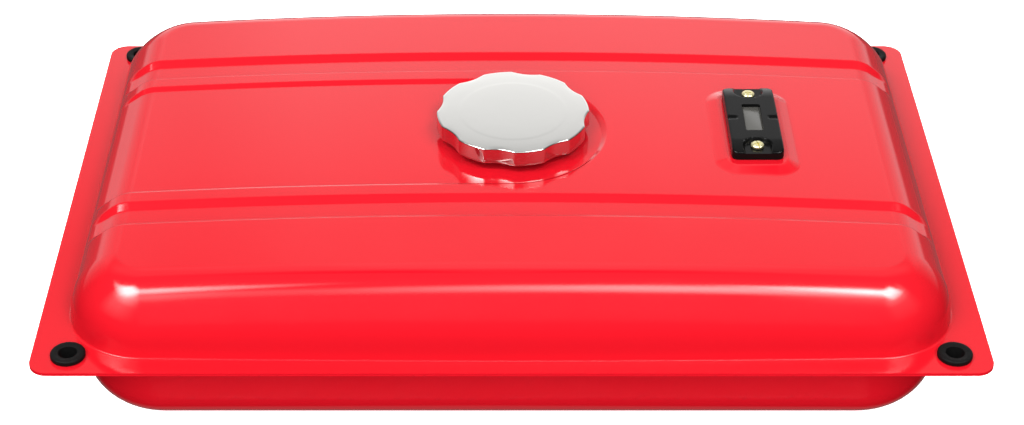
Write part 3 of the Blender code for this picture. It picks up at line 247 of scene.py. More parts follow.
class FuelTankGauge(bpy.types.PropertyGroup):
    """Sizes of the float gauge."""

    corner: length("Corner", "Corner radius of the housing", 0.0045)
    round: length("Round", "Radius of the housing's top edge", 0.0014)
    foot_round: length("Foot round", "Radius at the foot of the housing's sides", 0.0001)
    side_lean: angle("Side lean", "Lean of the housing's sides", 2)
    wall: length("Wall", "Thickness of the housing's sides", 0.003)
    ceiling: length("Ceiling", "Thickness of the housing's top", 0.002)
    chamber_length: length("Chamber length", "Length of the hollow under the housing", 0.048)
    chamber_corner: length("Chamber corner", "Corner radius of the hollow", 0.0015)
    window_length: length("Window length", "Length of the window", 0.033)
    window_width: length("Window width", "Width of the window", 0.0125)
    window_corner: length("Window corner", "Corner radius of the window", 0.0015)
    fall_run: length("Fall run", "Distance from each end where the top begins to fall", 0.015)
    fall_depth: length("Fall depth", "How far the top falls to each end", 0.0022)
    scoop_length: length("Scoop length", "Length of the floor of the pocket at each end", 0.0142)
    scoop_width: length("Scoop width", "Width of the floor of the pocket at each end", 0.0165)
    scoop_corner: length("Scoop corner", "Corner radius of the pocket's floor", 0.0065)
    scoop_depth: length("Scoop depth", "Depth of the pocket at each end", 0.003)
    scoop_slope: length("Scoop slope", "Width of the pocket's slopes", 0.002)
    notch_length: length("Notch length", "Length of the two half-moon notches", 0.0075)
    notch_half: length("Notch half width", "Half the width of the half-moon notches", 0.0021)
    notch_depth: length("Notch depth", "Depth of the half-moon notches", 0.0011)
    edge_run: length("Edge run", "Spacing of the points along the housing's edge", 0.0012)
    grid: length("Grid", "Spacing of the points on the housing's top", 0.0006)
    lens_border: length("Lens border", "Width of the lens's slope to the window's edge", 0.0010)
    lens_rebate: length("Lens rebate", "How much lower the lens's rim lies than its face", 0.0004)
    lens_gap: length("Lens gap", "Clearance between the lens and the window", 0.0002)
    lens_corner: length("Lens corner", "Corner radius of the lens", 0.0012)
    lens_round: length("Lens round", "Radius of the lens's edges", 0.0003)
    screw_radius: length("Screw radius", "Radius of the screws' shanks", 0.0024)
    head_radius: length("Head radius", "Radius of the screws' heads", 0.0044)
    head_height: length("Head height", "Height of the screws' heads", 0.0024)
    cross_width: length("Cross width", "Width of the screws' cross", 0.0012)
    cross_reach: length("Cross reach", "Radius of the screws' cross", 0.0025)
    cross_depth: length("Cross depth", "Depth of the screws' cross", 0.0015)
    head_round: length("Head round", "Radius of the screws' heads' edges", 0.0008)
    tip_round: length("Tip round", "Radius of the screws' tips", 0.0004)
    slot_width: length("Slot width", "Width of the screws' slot", 0.0009)
    slot_depth: length("Slot depth", "Depth of the screws' slot", 0.0009)


class FuelTankOutlet(bpy.types.PropertyGroup):
    """Sizes of the threaded outlet bush."""

    bore: length("Bore", "Radius at the crests of the thread", 0.005)
    body: length("Body", "Radius of the bush above its flange", 0.009)
    flange: length("Flange", "Thickness of the bush's flange", 0.0015)
    pitch: length("Pitch", "Pitch of the thread", 0.00125)
    thread_depth: length("Thread depth", "Depth of the thread", 0.0005)
    lead: length("Lead", "Plain length at each end of the thread", 0.0008)


class FuelTankFinish(bpy.types.PropertyGroup):
    """Colours of the finishes."""

    enamel: colour("Enamel", "Red baked enamel", "#A50D18")
    rubber: colour("Rubber", "Black nitrile rubber", "#060606")
    housing: colour("Housing", "Black ABS", "#070707")
    chrome: colour("Chrome", "Bright chromium", "#D6D5D2")
    zinc: colour("Zinc", "Bright zinc plate", "#C4C6C8")
    yellow_zinc: colour("Yellow zinc", "Yellow chromate on zinc", "#F6EEBC")
    nylon: colour("Nylon", "Natural nylon", "#E2E0D8")
    lens: colour("Lens", "Frosted polycarbonate", "#3E3D3A")
    foam: colour("Foam", "Closed-cell nitrile foam", "#2A2A29")
    floor: colour("Floor", "Pale floor", "#F4F4F4")


class FuelTankStudio(bpy.types.PropertyGroup):
    """The camera and the lights."""

    camera_x: length("Camera X", "Camera's place along the tank", -0.018)
    camera_y: length("Camera Y", "Camera's place in front of the tank", -1.2877)
    camera_rise: length("Camera rise", "Camera's height above the flange", 0.868)
    camera_pitch: angle("Camera pitch", "How far the camera looks down", 34.5)
    focal_length: FloatProperty(name="Focal length", description="In millimetres", default=79.03)
    shift: FloatProperty(name="Shift", description="Sideways shift of the lens", default=0.0288, precision=4)
    nearest: length("Nearest", "Distance from the camera where the picture starts", 0.05)
    floor_size: length("Floor size", "Side of the square floor", 12)
    light_reach: length("Light reach", "Distance of the lights from the tank", 2.0)
    light_width: length("Light width", "Width of the lights", 1.4)
    front_height: length("Front height", "Height of the front light", 1.3)
    front_climb: angle("Front climb", "How far above the flange the front light stands", 31)
    front_power: FloatProperty(name="Front power", description="Front light", default=60, unit="POWER")
    low_height: length("Low height", "Height of the low light", 0.5)
    low_climb: angle("Low climb", "How far above the flange the low light stands", -52)
    low_power: FloatProperty(name="Low power", description="Low light", default=38, unit="POWER")


def add_node(tree, kind, inputs=None, **settings):
    """Adds a node, sets its fields and fills or links its inputs."""
    node = tree.nodes.new(kind)
    for field, value in settings.items():
        setattr(node, field, value)
    for socket, value in (inputs or {}).items():
        value = getattr(value, "socket", value)
        if isinstance(value, bpy.types.NodeSocket):
            tree.links.new(value, node.inputs[socket])
        else:
            node.inputs[socket].default_value = value
    return node


class Wire:
    """A number that a node tree works out; signs between wires add their sums to the tree."""

    def __init__(self, socket):
        self.socket = socket

    def join(self, operation, *others):
        """The result of an operation on this number and others."""
        inputs = dict(enumerate((self, *others)))
        node = add_node(self.socket.id_data, "ShaderNodeMath", inputs, operation=operation)
        return Wire(node.outputs[0])

    def __add__(self, other):
        return self.join("ADD", other)

    def __sub__(self, other):
        return self.join("SUBTRACT", other)

    def __rsub__(self, other):
        return self.join("MULTIPLY_ADD", -1, other)

    def __mul__(self, other):
        return self.join("MULTIPLY", other)

    def __truediv__(self, other):
        return self.join("DIVIDE", other)

    def ramp(self, start, end, low=0.0, high=1.0):
        """Goes from low to high while this number goes from start to end."""
        slope = 1 / (end - start)
        share = self.join("MULTIPLY_ADD", slope, -start * slope)
        share.socket.node.use_clamp = True
        return share.join("MULTIPLY_ADD", high - low, low)

    def band(self, near, far):
        """1 between two slopes and 0 outside them."""
        return self.ramp(*near).join("MINIMUM", self.ramp(*far, 1.0, 0.0))

    def between(self, low, high):
        """The value that lies this share of the way from low to high."""
        return self.join("MULTIPLY_ADD", high - low, low)


def new_object(name, mesh, material=None):
    """Links a mesh to the scene as an object at the origin."""
    obj = bpy.data.objects.new(name, mesh)
    bpy.context.scene.collection.objects.link(obj)
    if material:
        mesh.materials.clear()
        mesh.materials.append(material)
    return obj


def mesh_of(name, verts, faces):
    """A mesh from vertices and faces."""
    mesh = bpy.data.meshes.new(name)
    mesh.from_pydata(verts, [], faces)
    return mesh


def bake_modifiers(obj):
    """Turns an object with its modifiers into a plain mesh."""
    graph = bpy.context.evaluated_depsgraph_get()
    mesh = bpy.data.meshes.new_from_object(obj.evaluated_get(graph))
    obj.modifiers.clear()
    obj.data = mesh
    return obj


def shade(obj, degrees=35):
    """Smooth shading with creases at sharp angles."""
    obj.data.shade_smooth()
    obj.data.set_sharp_from_angle(angle=math.radians(degrees))
    return obj


def settle(obj, body, slot, *nodes):
    """Puts a finished piece on its body and hides the nodes it stands for; its slot is not used."""
    if nodes:
        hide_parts(*nodes)
    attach(obj, body)
    return obj


def arc(centre, radius, start, end, steps):
    """Points of an arc round a centre, both ends included."""
    turns = [start + (end - start) * i / steps for i in range(steps + 1)]
    return [(centre[0] + radius * math.cos(t), centre[1] + radius * math.sin(t)) for t in turns]


def split_runs(points, run):
    """The same closed outline, with long straight runs divided evenly."""
    outline = []
    for here, there in zip(points, points[1:] + points[:1]):
        parts = max(1, math.ceil(math.dist(here, there) / run - MERGE))
        outline += [tuple(h + (t - h) * i / parts for h, t in zip(here, there)) for i in range(parts)]
    return outline


def rounded_rectangle(half_x, half_y, radius, steps, run=math.inf, centre=(0, 0)):
    """An outline with four round corners, anticlockwise, its straight runs divided evenly."""
    points = []
    for quarter, (sx, sy) in enumerate(((1, 1), (-1, 1), (-1, -1), (1, -1))):
        middle = (centre[0] + sx * (half_x - radius), centre[1] + sy * (half_y - radius))
        start = quarter * math.pi / 2
        points += arc(middle, radius, start, start + math.pi / 2, steps)
    return split_runs(points, run)


def inset(x, y, half_x, half_y, radius):
    """How far points lie inside a rounded rectangle; negative outside it."""
    dx = np.abs(x) - (half_x - radius)
    dy = np.abs(y) - (half_y - radius)
    corner = np.hypot(np.maximum(dx, 0), np.maximum(dy, 0))
    return radius - corner - np.minimum(np.maximum(dx, dy), 0)


def ease(value):
    """0 below 0, 1 above 1, and an S curve between."""
    t = np.clip(value, 0, 1)
    return t * t * (3 - 2 * t)


def pressed_step(value):
    """0 below 0, 1 above 1, and between them a straight slope with two short bends."""
    t = np.clip(value, 0, 1)
    bend = PRESS_ROUND_SHARE
    slope = 1 / (1 - bend)
    foot = slope * t * t / (2 * bend)
    top = 1 - slope * (1 - t) ** 2 / (2 * bend)
    return np.where(t < bend, foot, np.where(t > 1 - bend, top, slope * (t - bend / 2)))


class PressedWall:
    """A drawn wall: a fillet at its foot, a leaning straight side and a shoulder of two radii."""

    def __init__(self, half_x, half_y, corner, fillet, draft, shoulder, height, crest=None, turn=0, bow=0):
        self.half_x, self.half_y, self.corner, self.bow = half_x, half_y, corner, bow
        self.fillet, self.draft, self.shoulder, self.height = fillet, draft, shoulder, height
        self.crest, self.turn = crest or shoulder, turn
        wider = shoulder - self.crest
        self.crest_axis_z = height - self.crest
        self.shoulder_axis_z = self.crest_axis_z - wider * math.cos(turn)
        self.wall_top = self.shoulder_axis_z + shoulder * math.sin(draft)
        self.fillet_end = fillet * math.cos(draft)
        straight = self.wall_top - fillet * (1 - math.sin(draft))
        self.wall_end = self.fillet_end + straight * math.tan(draft)
        self.shoulder_axis = self.wall_end + shoulder * math.cos(draft)
        self.shoulder_end = self.shoulder_axis - wider * math.sin(turn)
        self.crest_start = self.shoulder_end - self.crest * math.sin(turn)

    def stretch(self, x):
        """How much wider the bowed plan is than the straight one."""
        reach = self.half_x - self.corner
        return 1 + self.bow / self.half_y * np.maximum(1 - (x / reach) ** 2, 0)

    def inset(self, x, y):
        """Distance of points inside the wall's foot."""
        return inset(x, y / self.stretch(x), self.half_x, self.half_y, self.corner)

    def rise(self, depth):
        """Height of the wall at a distance inside its foot."""
        foot = self.fillet - np.sqrt(np.maximum(self.fillet**2 - np.clip(depth, 0, self.fillet) ** 2, 0))
        side = self.fillet * (1 - math.sin(self.draft)) + (depth - self.fillet_end) / math.tan(self.draft)
        wide = np.clip(self.shoulder_axis - depth, 0, self.shoulder)
        tight = np.clip(self.shoulder_end - depth, 0, self.crest)
        shoulder = self.shoulder_axis_z + np.sqrt(self.shoulder**2 - wide**2)
        crest = self.crest_axis_z + np.sqrt(self.crest**2 - tight**2)
        over = np.where(depth < self.crest_start, shoulder, crest)
        over = np.where(depth < self.wall_end, side, over)
        return np.where(depth <= 0, 0, np.where(depth <= self.fillet_end, foot, over))

    def outlines(self, foot_steps, shoulder_steps, corner_steps, run):
        """Plan outlines from the wall's foot to the top of its shoulder."""
        lean = math.pi / 2 - self.draft
        depths = [self.fillet * math.sin(lean * i / foot_steps) for i in range(foot_steps + 1)]
        depths.append((self.fillet_end + self.wall_end) / 2)
        crest_steps = round(shoulder_steps * self.turn / lean)
        for i in range(shoulder_steps - crest_steps + 1):
            turn = lean + (self.turn - lean) * i / (shoulder_steps - crest_steps)
            depths.append(self.shoulder_axis - self.shoulder * math.sin(turn))
        for i in range(crest_steps):
            turn = self.turn * (1 - (i + 1) / crest_steps)
            depths.append(self.shoulder_end - self.crest * math.sin(turn))
        outlines = []
        for d in depths:
            outline = rounded_rectangle(self.half_x - d, self.half_y - d, self.corner - d, corner_steps, run)
            outlines.append([(x, y * float(self.stretch(x))) for x, y in outline])
        return outlines


def plan(loops, lines, spots, holes):
    """A flat plan cut into triangles along its loops and lines, without its holes."""
    closed_chains = loops + [outline for _, outline in holes]
    points, edges = [], []
    for chain, closed in [(c, True) for c in closed_chains] + [(c, False) for c in lines]:
        first = len(points)
        points += [Vector(p) for p in chain]
        edges += [(first + i, first + i + 1) for i in range(len(chain) - 1)]
        if closed:
            edges.append((len(points) - 1, first))
    points += [Vector(p) for p in spots]
    flat, _, faces, _, _, _ = delaunay_2d_cdt(points, edges, [], 0, MERGE)
    places = np.array([(p.x, p.y) for p in flat])
    faces = np.array([f for f in faces if len(f) == 3])
    middle = places[faces].mean(axis=1)
    keep = np.ones(len(faces), bool)
    for depth_in_hole, _ in holes:
        keep &= depth_in_hole(middle[:, 0], middle[:, 1]) < 0
    used, index = np.unique(faces[keep], return_inverse=True)
    return places[used], index.reshape(-1, 3)


def open_sides(faces):
    """The sides of triangles that no neighbour shares, each in its triangle's direction."""
    sides = np.concatenate((faces[:, (0, 1)], faces[:, (1, 2)], faces[:, (2, 0)])).tolist()
    known = {(a, b) for a, b in sides}
    return [(a, b) for a, b in sides if (b, a) not in known]


def lay_sheet(name, places, faces, height, thickness, up):
    """A flat plan lifted to its die's height, as a closed sheet with the die's own normals."""
    x, y = places.T
    z = height(x, y)
    slope_x = (height(x + SLOPE_STEP, y) - height(x - SLOPE_STEP, y)) / (2 * SLOPE_STEP)
    slope_y = (height(x, y + SLOPE_STEP) - height(x, y - SLOPE_STEP)) / (2 * SLOPE_STEP)
    normals = np.column_stack((-slope_x, -slope_y, np.ones_like(z))) * up
    normals /= np.linalg.norm(normals, axis=1)[:, None]
    outer = np.column_stack((x, y, z))
    inner = outer - normals * thickness
    count = len(outer)
    if up < 0:
        faces = faces[:, ::-1]
    rims = [(b, a, a + count, b + count) for a, b in open_sides(faces)]
    verts = np.concatenate((outer, inner))
    mesh = mesh_of(name, verts.tolist(), faces.tolist() + (faces[:, ::-1] + count).tolist() + rims)
    loops = [normals[faces.ravel()], -normals[faces[:, ::-1].ravel()]]
    for rim in rims:
        a, b, c, _ = (verts[i] for i in rim)
        across = np.cross(b - a, c - b)
        loops.append(np.tile(across / np.linalg.norm(across), (4, 1)))
    mesh.shade_smooth()
    mesh.normals_split_custom_set(np.concatenate(loops).tolist())
    return mesh


def lay_block(name, places, faces, height, low):
    """A flat plan lifted to a die's height, closed by straight sides and a flat underside."""
    ring = dict(open_sides(faces))
    order = [next(iter(ring))]
    while ring[order[-1]] != order[0]:
        order.append(ring[order[-1]])
    first, count = len(places), len(order)
    verts = np.column_stack((places, height(*places.T))).tolist() + [(*places[i], low) for i in order]
    sides = []
    for k, i in enumerate(order):
        after = (k + 1) % count
        sides.append((order[after], i, first + k, first + after))
    underside = tuple(range(first, first + count))[::-1]
    return mesh_of(name, verts, faces.tolist() + sides + [underside])


def round_profile(corners, steps=5):
    """A closed profile from corners of (radius, height, rounding)."""
    points = []
    count = len(corners)
    for i, (r, z, rounding) in enumerate(corners):
        here = Vector((r, z))
        back = Vector(corners[i - 1][:2]) - here
        on = Vector(corners[(i + 1) % count][:2]) - here
        if rounding == 0:
            points.append((r, z))
            continue
        half = back.angle(on) / 2
        reach = rounding / math.tan(half)
        centre = here + (back.normalized() + on.normalized()).normalized() * (rounding / math.sin(half))
        start = here + back.normalized() * reach - centre
        sweep = (here + on.normalized() * reach - centre).angle_signed(start)
        for step in range(steps + 1):
            turn = Matrix.Rotation(sweep * step / steps, 2)
            points.append(tuple(centre + turn @ start))
    return points


def turned(name, profile, material, centre=(0, 0), steps=96, degrees=35):
    """A closed profile of (radius, height) turned about a vertical axis."""
    work = bmesh.new()
    verts = [work.verts.new((r, 0, z)) for r, z in profile]
    edges = [work.edges.new((verts[i - 1], verts[i])) for i in range(len(verts))]
    axis = {"cent": (0, 0, 0), "axis": (0, 0, 1), "angle": 2 * math.pi}
    bmesh.ops.spin(work, geom=verts + edges, steps=steps, use_merge=True, **axis)
    bmesh.ops.remove_doubles(work, verts=work.verts, dist=MERGE)
    flat = [f for f in work.faces if f.calc_area() < MERGE * MERGE]
    bmesh.ops.delete(work, geom=flat, context="FACES_ONLY")
    loose = [e for e in work.edges if not e.link_faces]
    bmesh.ops.delete(work, geom=loose, context="EDGES")
    bmesh.ops.recalc_face_normals(work, faces=work.faces)
    bmesh.ops.translate(work, vec=(centre[0], centre[1], 0), verts=work.verts)
    mesh = bpy.data.meshes.new(name)
    work.to_mesh(mesh)
    work.free()
    return shade(new_object(name, mesh, material), degrees)


def block(name, outline, low, high, taper=0):
    """A closed upright block on an outline; taper draws its bottom in."""
    count = len(outline)
    middle = [sum(p[axis] for p in outline) / count for axis in (0, 1)]
    foot = [tuple(m + (v - m) * (1 - taper) for v, m in zip(p, middle)) for p in outline]
    verts = [(x, y, low) for x, y in foot] + [(x, y, high) for x, y in outline]
    faces = [tuple(range(count))[::-1], tuple(range(count, 2 * count))]
    faces += [(i, (i + 1) % count, (i + 1) % count + count, i + count) for i in range(count)]
    return new_object(name, mesh_of(name, verts, faces))


def rectangle(half_x, half_y, centre=(0, 0), turn=0):
    """A turned rectangle's four corners."""
    cos, sin = math.cos(turn), math.sin(turn)
    corners = ((half_x, half_y), (-half_x, half_y), (-half_x, -half_y), (half_x, -half_y))
    return [(centre[0] + x * cos - y * sin, centre[1] + x * sin + y * cos) for x, y in corners]


def circle(centre, radius, steps):
    """Points round a full circle."""
    return arc(centre, radius, 0, 2 * math.pi, steps)[:-1]


def cut(obj, *tools):
    """Cuts tools from a piece and removes them."""
    for tool in tools:
        boolean = obj.modifiers.new("cut", "BOOLEAN")
        boolean.operation = "DIFFERENCE"
        boolean.solver = "EXACT"
        boolean.object = tool
    bake_modifiers(obj)
    for tool in tools:
        bpy.data.objects.remove(tool)
    return obj


Grain = namedtuple("Grain", "size detail cells", defaults=(2.0, False))


def grained(name, colour, tint, dark_share, gloss=None, roughness=None, relief=None, height=None, **sockets):
    """A material whose colour, roughness and height follow grains laid in the piece's own place.

    A grain's size is in metres. The tint darkens the colour by up to a share, the gloss spreads
    between two roughnesses and the relief raises the surface by up to a height.
    """
    material = bpy.data.materials.new(name)
    material.use_nodes = True
    tree = material.node_tree
    shader = tree.nodes["Principled BSDF"]
    for label, value in sockets.items():
        shader.inputs[label.replace("_", " ")].default_value = value
    place = add_node(tree, "ShaderNodeTexCoord").outputs["Object"]
    values = {}
    for grain in filter(None, (tint, gloss, relief)):
        inputs = {"Vector": place, "Scale": 1 / grain.size}
        if grain.cells:
            values[grain] = add_node(tree, "ShaderNodeTexVoronoi", inputs).outputs["Distance"]
        else:
            inputs["Detail"] = grain.detail
            values[grain] = add_node(tree, "ShaderNodeTexNoise", inputs).outputs["Fac"]
    dark = tuple(c * (1 - dark_share) for c in colour[:3]) + (1,)
    inputs = {"Factor": values[tint], "A": dark, "B": tuple(colour)}
    mixed = add_node(tree, "ShaderNodeMix", inputs, data_type="RGBA")
    tree.links.new(mixed.outputs["Result"], shader.inputs["Base Color"])
    if gloss:
        rough = Wire(values[gloss]).ramp(NOISE_LOW_SHARE, NOISE_HIGH_SHARE, *roughness)
        tree.links.new(rough.socket, shader.inputs["Roughness"])
    if relief:
        inputs = {"Height": values[relief], "Distance": height, "Strength": 1.0}
        bump = add_node(tree, "ShaderNodeBump", inputs)
        tree.links.new(bump.outputs["Normal"], shader.inputs["Normal"])
    return material


def red_enamel(name, looks):
    """Baked enamel on sheet steel: a deep gloss over slow drifts of tone and faint orange peel."""
    return grained(
        name,
        looks.enamel,
        tint=Grain(size=0.120),
        dark_share=0.05,
        gloss=Grain(size=0.030),
        roughness=(0.085, 0.105),
        relief=Grain(size=0.0035, detail=1.0),
        height=0.000004,
        IOR=1.45,
    )


def nitrile_rubber(name, looks):
    """Moulded nitrile rubber: dull black with a dusty grain, drawn coarser than dust so that it shows."""
    dust = Grain(size=0.0025, detail=4.0)
    return grained(
        name,
        looks.rubber,
        tint=dust,
        dark_share=0.35,
        gloss=dust,
        roughness=(0.55, 0.70),
        relief=Grain(size=0.0006, detail=3.0),
        height=0.00002,
        IOR=1.48,
        Specular_IOR_Level=0.15,
    )


def glossy_abs(name, looks):
    """Injection-moulded black ABS: glossy, with faint flow waves."""
    flow = Grain(size=0.012)
    return grained(
        name,
        looks.housing,
        tint=flow,
        dark_share=0.2,
        gloss=Grain(size=0.004, detail=3.0),
        roughness=(0.17, 0.22),
        relief=flow,
        height=0.00001,
        IOR=1.45,
        Specular_IOR_Level=0.14,
    )


def frosted_polycarbonate(name, looks):
    """Frosted clear polycarbonate over a pale drum: a cloudy grey with a soft shine.

    The frost is drawn as coarse as it needs to show.
    """
    cloud, frost = Grain(size=0.009), Grain(size=0.005)
    return grained(name, looks.lens, cloud, dark_share=0.08, gloss=frost, roughness=(0.22, 0.26), IOR=1.58)


def chrome_plate(name, looks):
    """Bright chromium on pressed steel: a mirror with the sheet's faint waves under it."""
    return grained(
        name,
        looks.chrome,
        tint=Grain(size=0.025),
        dark_share=0.02,
        gloss=Grain(size=0.006, detail=3.0),
        roughness=(0.05, 0.07),
        relief=Grain(size=0.014, detail=1.0),
        height=0.000006,
        Metallic=1.0,
    )


def plated_steel(name, colour, roughness, grit):
    """Steel under a plated film: a metal shine broken by the crystals of the plate.

    Real crystals are too fine to show, so the grit is drawn as coarse as it needs to.
    """
    crystals = Grain(size=grit, detail=4.0)
    return grained(
        name,
        colour,
        tint=crystals,
        dark_share=0.18,
        gloss=crystals,
        roughness=roughness,
        relief=crystals,
        height=0.000006,
        Metallic=1.0,
    )


def zinc_plate(name, looks):
    """Bright zinc on steel."""
    return plated_steel(name, looks.zinc, roughness=(0.28, 0.42), grit=0.0008)


def spring_steel(name, looks):
    """Drawn spring wire and strip, bright from the die."""
    return plated_steel(name, looks.zinc, roughness=(0.16, 0.26), grit=0.0005)


def yellow_zinc_plate(name, looks):
    """Pale yellow chromate over zinc."""
    return plated_steel(name, looks.yellow_zinc, roughness=(0.34, 0.46), grit=0.0006)


def natural_nylon(name, looks):
    """Moulded natural nylon: a milky white with a satin face."""
    flow = Grain(size=0.008)
    return grained(name, looks.nylon, flow, dark_share=0.08, gloss=flow, roughness=(0.38, 0.5), IOR=1.53)


def closed_foam(name, looks):
    """Closed-cell nitrile foam: black, dull and pitted by its cut cells, drawn coarser than they are."""
    pits = Grain(size=0.0012, cells=True)
    return grained(
        name,
        looks.foam,
        tint=pits,
        dark_share=0.4,
        relief=pits,
        height=0.00015,
        Roughness=0.8,
        IOR=1.45,
    )


def pale_floor(name, looks):
    """A matt painted studio floor that glows a little, so that its far part stays pale."""
    return grained(
        name,
        looks.floor,
        tint=Grain(size=0.4),
        dark_share=0.02,
        Roughness=0.9,
        IOR=1.2,
        Emission_Color=tuple(looks.floor),
        Emission_Strength=0.9,
    )


FINISHES = {
    "red_paint": ("red_baked_enamel", red_enamel),
    "black_rubber": ("black_nitrile_rubber", nitrile_rubber),
    "black_plastic": ("black_gloss_abs", glossy_abs),
    "clear_lens": ("frosted_polycarbonate", frosted_polycarbonate),
    "chrome": ("chrome_plate", chrome_plate),
    "zinc_steel": ("zinc_plate", zinc_plate),
    "spring_steel": ("spring_steel", spring_steel),
    "yellow_zinc": ("yellow_zinc_plate", yellow_zinc_plate),
    "nylon": ("natural_nylon", natural_nylon),
    "foam": ("closed_cell_foam", closed_foam),
    "floor": ("pale_floor", pale_floor),
}


def finish(slot):
    """The finish of a slot, made when it is first asked for."""
    name, make = FINISHES[slot]
    return bpy.data.materials.get(name) or make(name, bpy.context.scene.fuel_tank_finish)


def upper_wall(sizes):
    """The wall of the upper shell."""
    height = UPPER_HIGH.z - FLANGE_TOP
    half_x, half_y = UPPER_HIGH.x - sizes.side_ledge, UPPER_HIGH.y - sizes.front_ledge
    fillet, draft, shoulder = sizes.fillet, sizes.draft, sizes.shoulder
    two_radii = {"crest": sizes.crest, "turn": sizes.crest_turn, "bow": sizes.bow}
    return PressedWall(half_x, half_y, sizes.corner, fillet, draft, shoulder, height, **two_radii)


def pan_wall(sizes):
    """The wall of the lower pan, measured downwards."""
    half_x, half_y = UPPER_HIGH.x - sizes.pan_side_ledge, UPPER_HIGH.y - sizes.pan_front_ledge
    fillet, draft, shoulder = sizes.pan_fillet, sizes.pan_draft, sizes.pan_shoulder
    return PressedWall(half_x, half_y, sizes.pan_corner, fillet, draft, shoulder, LOWER_FLANGE_BOTTOM)


def upper_height(sizes, wall):
    """The function of the upper shell's outer height."""
    pad_top = FLANGE_TOP + wall.height - GAUGE_X**2 / (2 * sizes.crown) + sizes.pad_rise

    def height(x, y):
        foot = wall.inset(x, y)
        rise = wall.rise(foot)
        over = np.clip((rise - wall.wall_top) / (wall.height - wall.wall_top), 0, 1)
        plain = FLANGE_TOP + rise - x * x / (2 * sizes.crown) * over
        groove = sizes.groove_width / 2 - np.abs(np.abs(y) - sizes.groove_offset)
        reach = np.hypot(np.maximum(x - CAP_X + sizes.drain_end, 0), y)
        relief = ease((foot - sizes.relief_start) / (sizes.relief_full - sizes.relief_start))
        sunk = sizes.groove_depth * pressed_step(groove / sizes.groove_flank)
        sunk += sizes.drain_depth * pressed_step((sizes.drain_radius - reach) / sizes.drain_flank)
        top = plain - relief * sunk
        half_x, half_y = sizes.pad_width / 2, sizes.pad_length / 2
        on_pad = inset(x - GAUGE_X, y - sizes.pad_y, half_x, half_y, sizes.pad_corner)
        return top + (pad_top - top) * pressed_step(on_pad / sizes.pad_slope)

    return height


def pan_height(sizes, wall, sump):
    """The function of the lower pan's outer height."""

    def height(x, y):
        seat = sizes.seat_radius - np.hypot(x - sump[0], y - sump[1])
        depth = wall.rise(wall.inset(x, y))
        return LOWER_FLANGE_BOTTOM - depth + sizes.seat_rise * ease(seat / sizes.seat_slope)

    return height


def shares(steps):
    """Even shares from 0 to 1, both ends included."""
    return [i / steps for i in range(steps + 1)]


def relief_lines(sizes, wall, run, groove_steps=10, drain_steps=8, bend_steps=72):
    """Plan lines along the slopes of the two grooves and the drain channel."""
    reach = wall.half_x - sizes.relief_start
    steps = math.ceil(2 * reach / run)
    lines = []
    for side in (-1, 1):
        for edge in (-1, 1):
            for share in shares(groove_steps):
                off = sizes.groove_width / 2 - share * sizes.groove_flank
                y = side * sizes.groove_offset + edge * off
                lines.append([(-reach + 2 * reach * i / steps, y) for i in range(steps + 1)])
    end = CAP_X - sizes.drain_end
    steps = math.ceil((end + reach) / run)
    for share in shares(drain_steps):
        radius = sizes.drain_radius - share * sizes.drain_flank
        leg = [(-reach + (end + reach) * i / steps, radius) for i in range(steps)]
        bend = arc((end, 0), radius, math.pi / 2, -math.pi / 2, bend_steps)
        lines.append(leg + bend + [(x, -y) for x, y in reversed(leg)])
    return lines


def hole_at(centre, half_x, half_y, radius):
    """A hole in a plan, as its signed inset and its outline."""
    steps = max(HOLE_LEAST_STEPS, math.ceil(radius / HOLE_STEP))
    outline = rounded_rectangle(half_x, half_y, radius, steps, HOLE_RUN, centre)
    return (lambda x, y: inset(x - centre[0], y - centre[1], half_x, half_y, radius)), outline


def round_hole(centre, radius):
    """A round hole in a plan."""
    return hole_at(centre, radius, radius, radius)


def middle_of(node):
    """The middle of a node's box in plan."""
    low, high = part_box(node)
    return (low.x + high.x) / 2, (low.y + high.y) / 2


def spots_inside(wall, spacing, margin, depth, centre=(0, 0)):
    """An even grid over a wall's plan less a margin, kept where it is deeper than a depth."""
    reach_x, reach_y = wall.half_x - margin, wall.half_y - margin
    count_x, count_y = round(2 * reach_x / spacing), round(2 * reach_y / spacing)
    places = []
    for i in range(1, count_x):
        for j in range(1, count_y):
            x, y = -reach_x + 2 * reach_x * i / count_x, -reach_y + 2 * reach_y * j / count_y
            if wall.inset(x, y) > depth:
                places.append((x + centre[0], y + centre[1]))
    return places


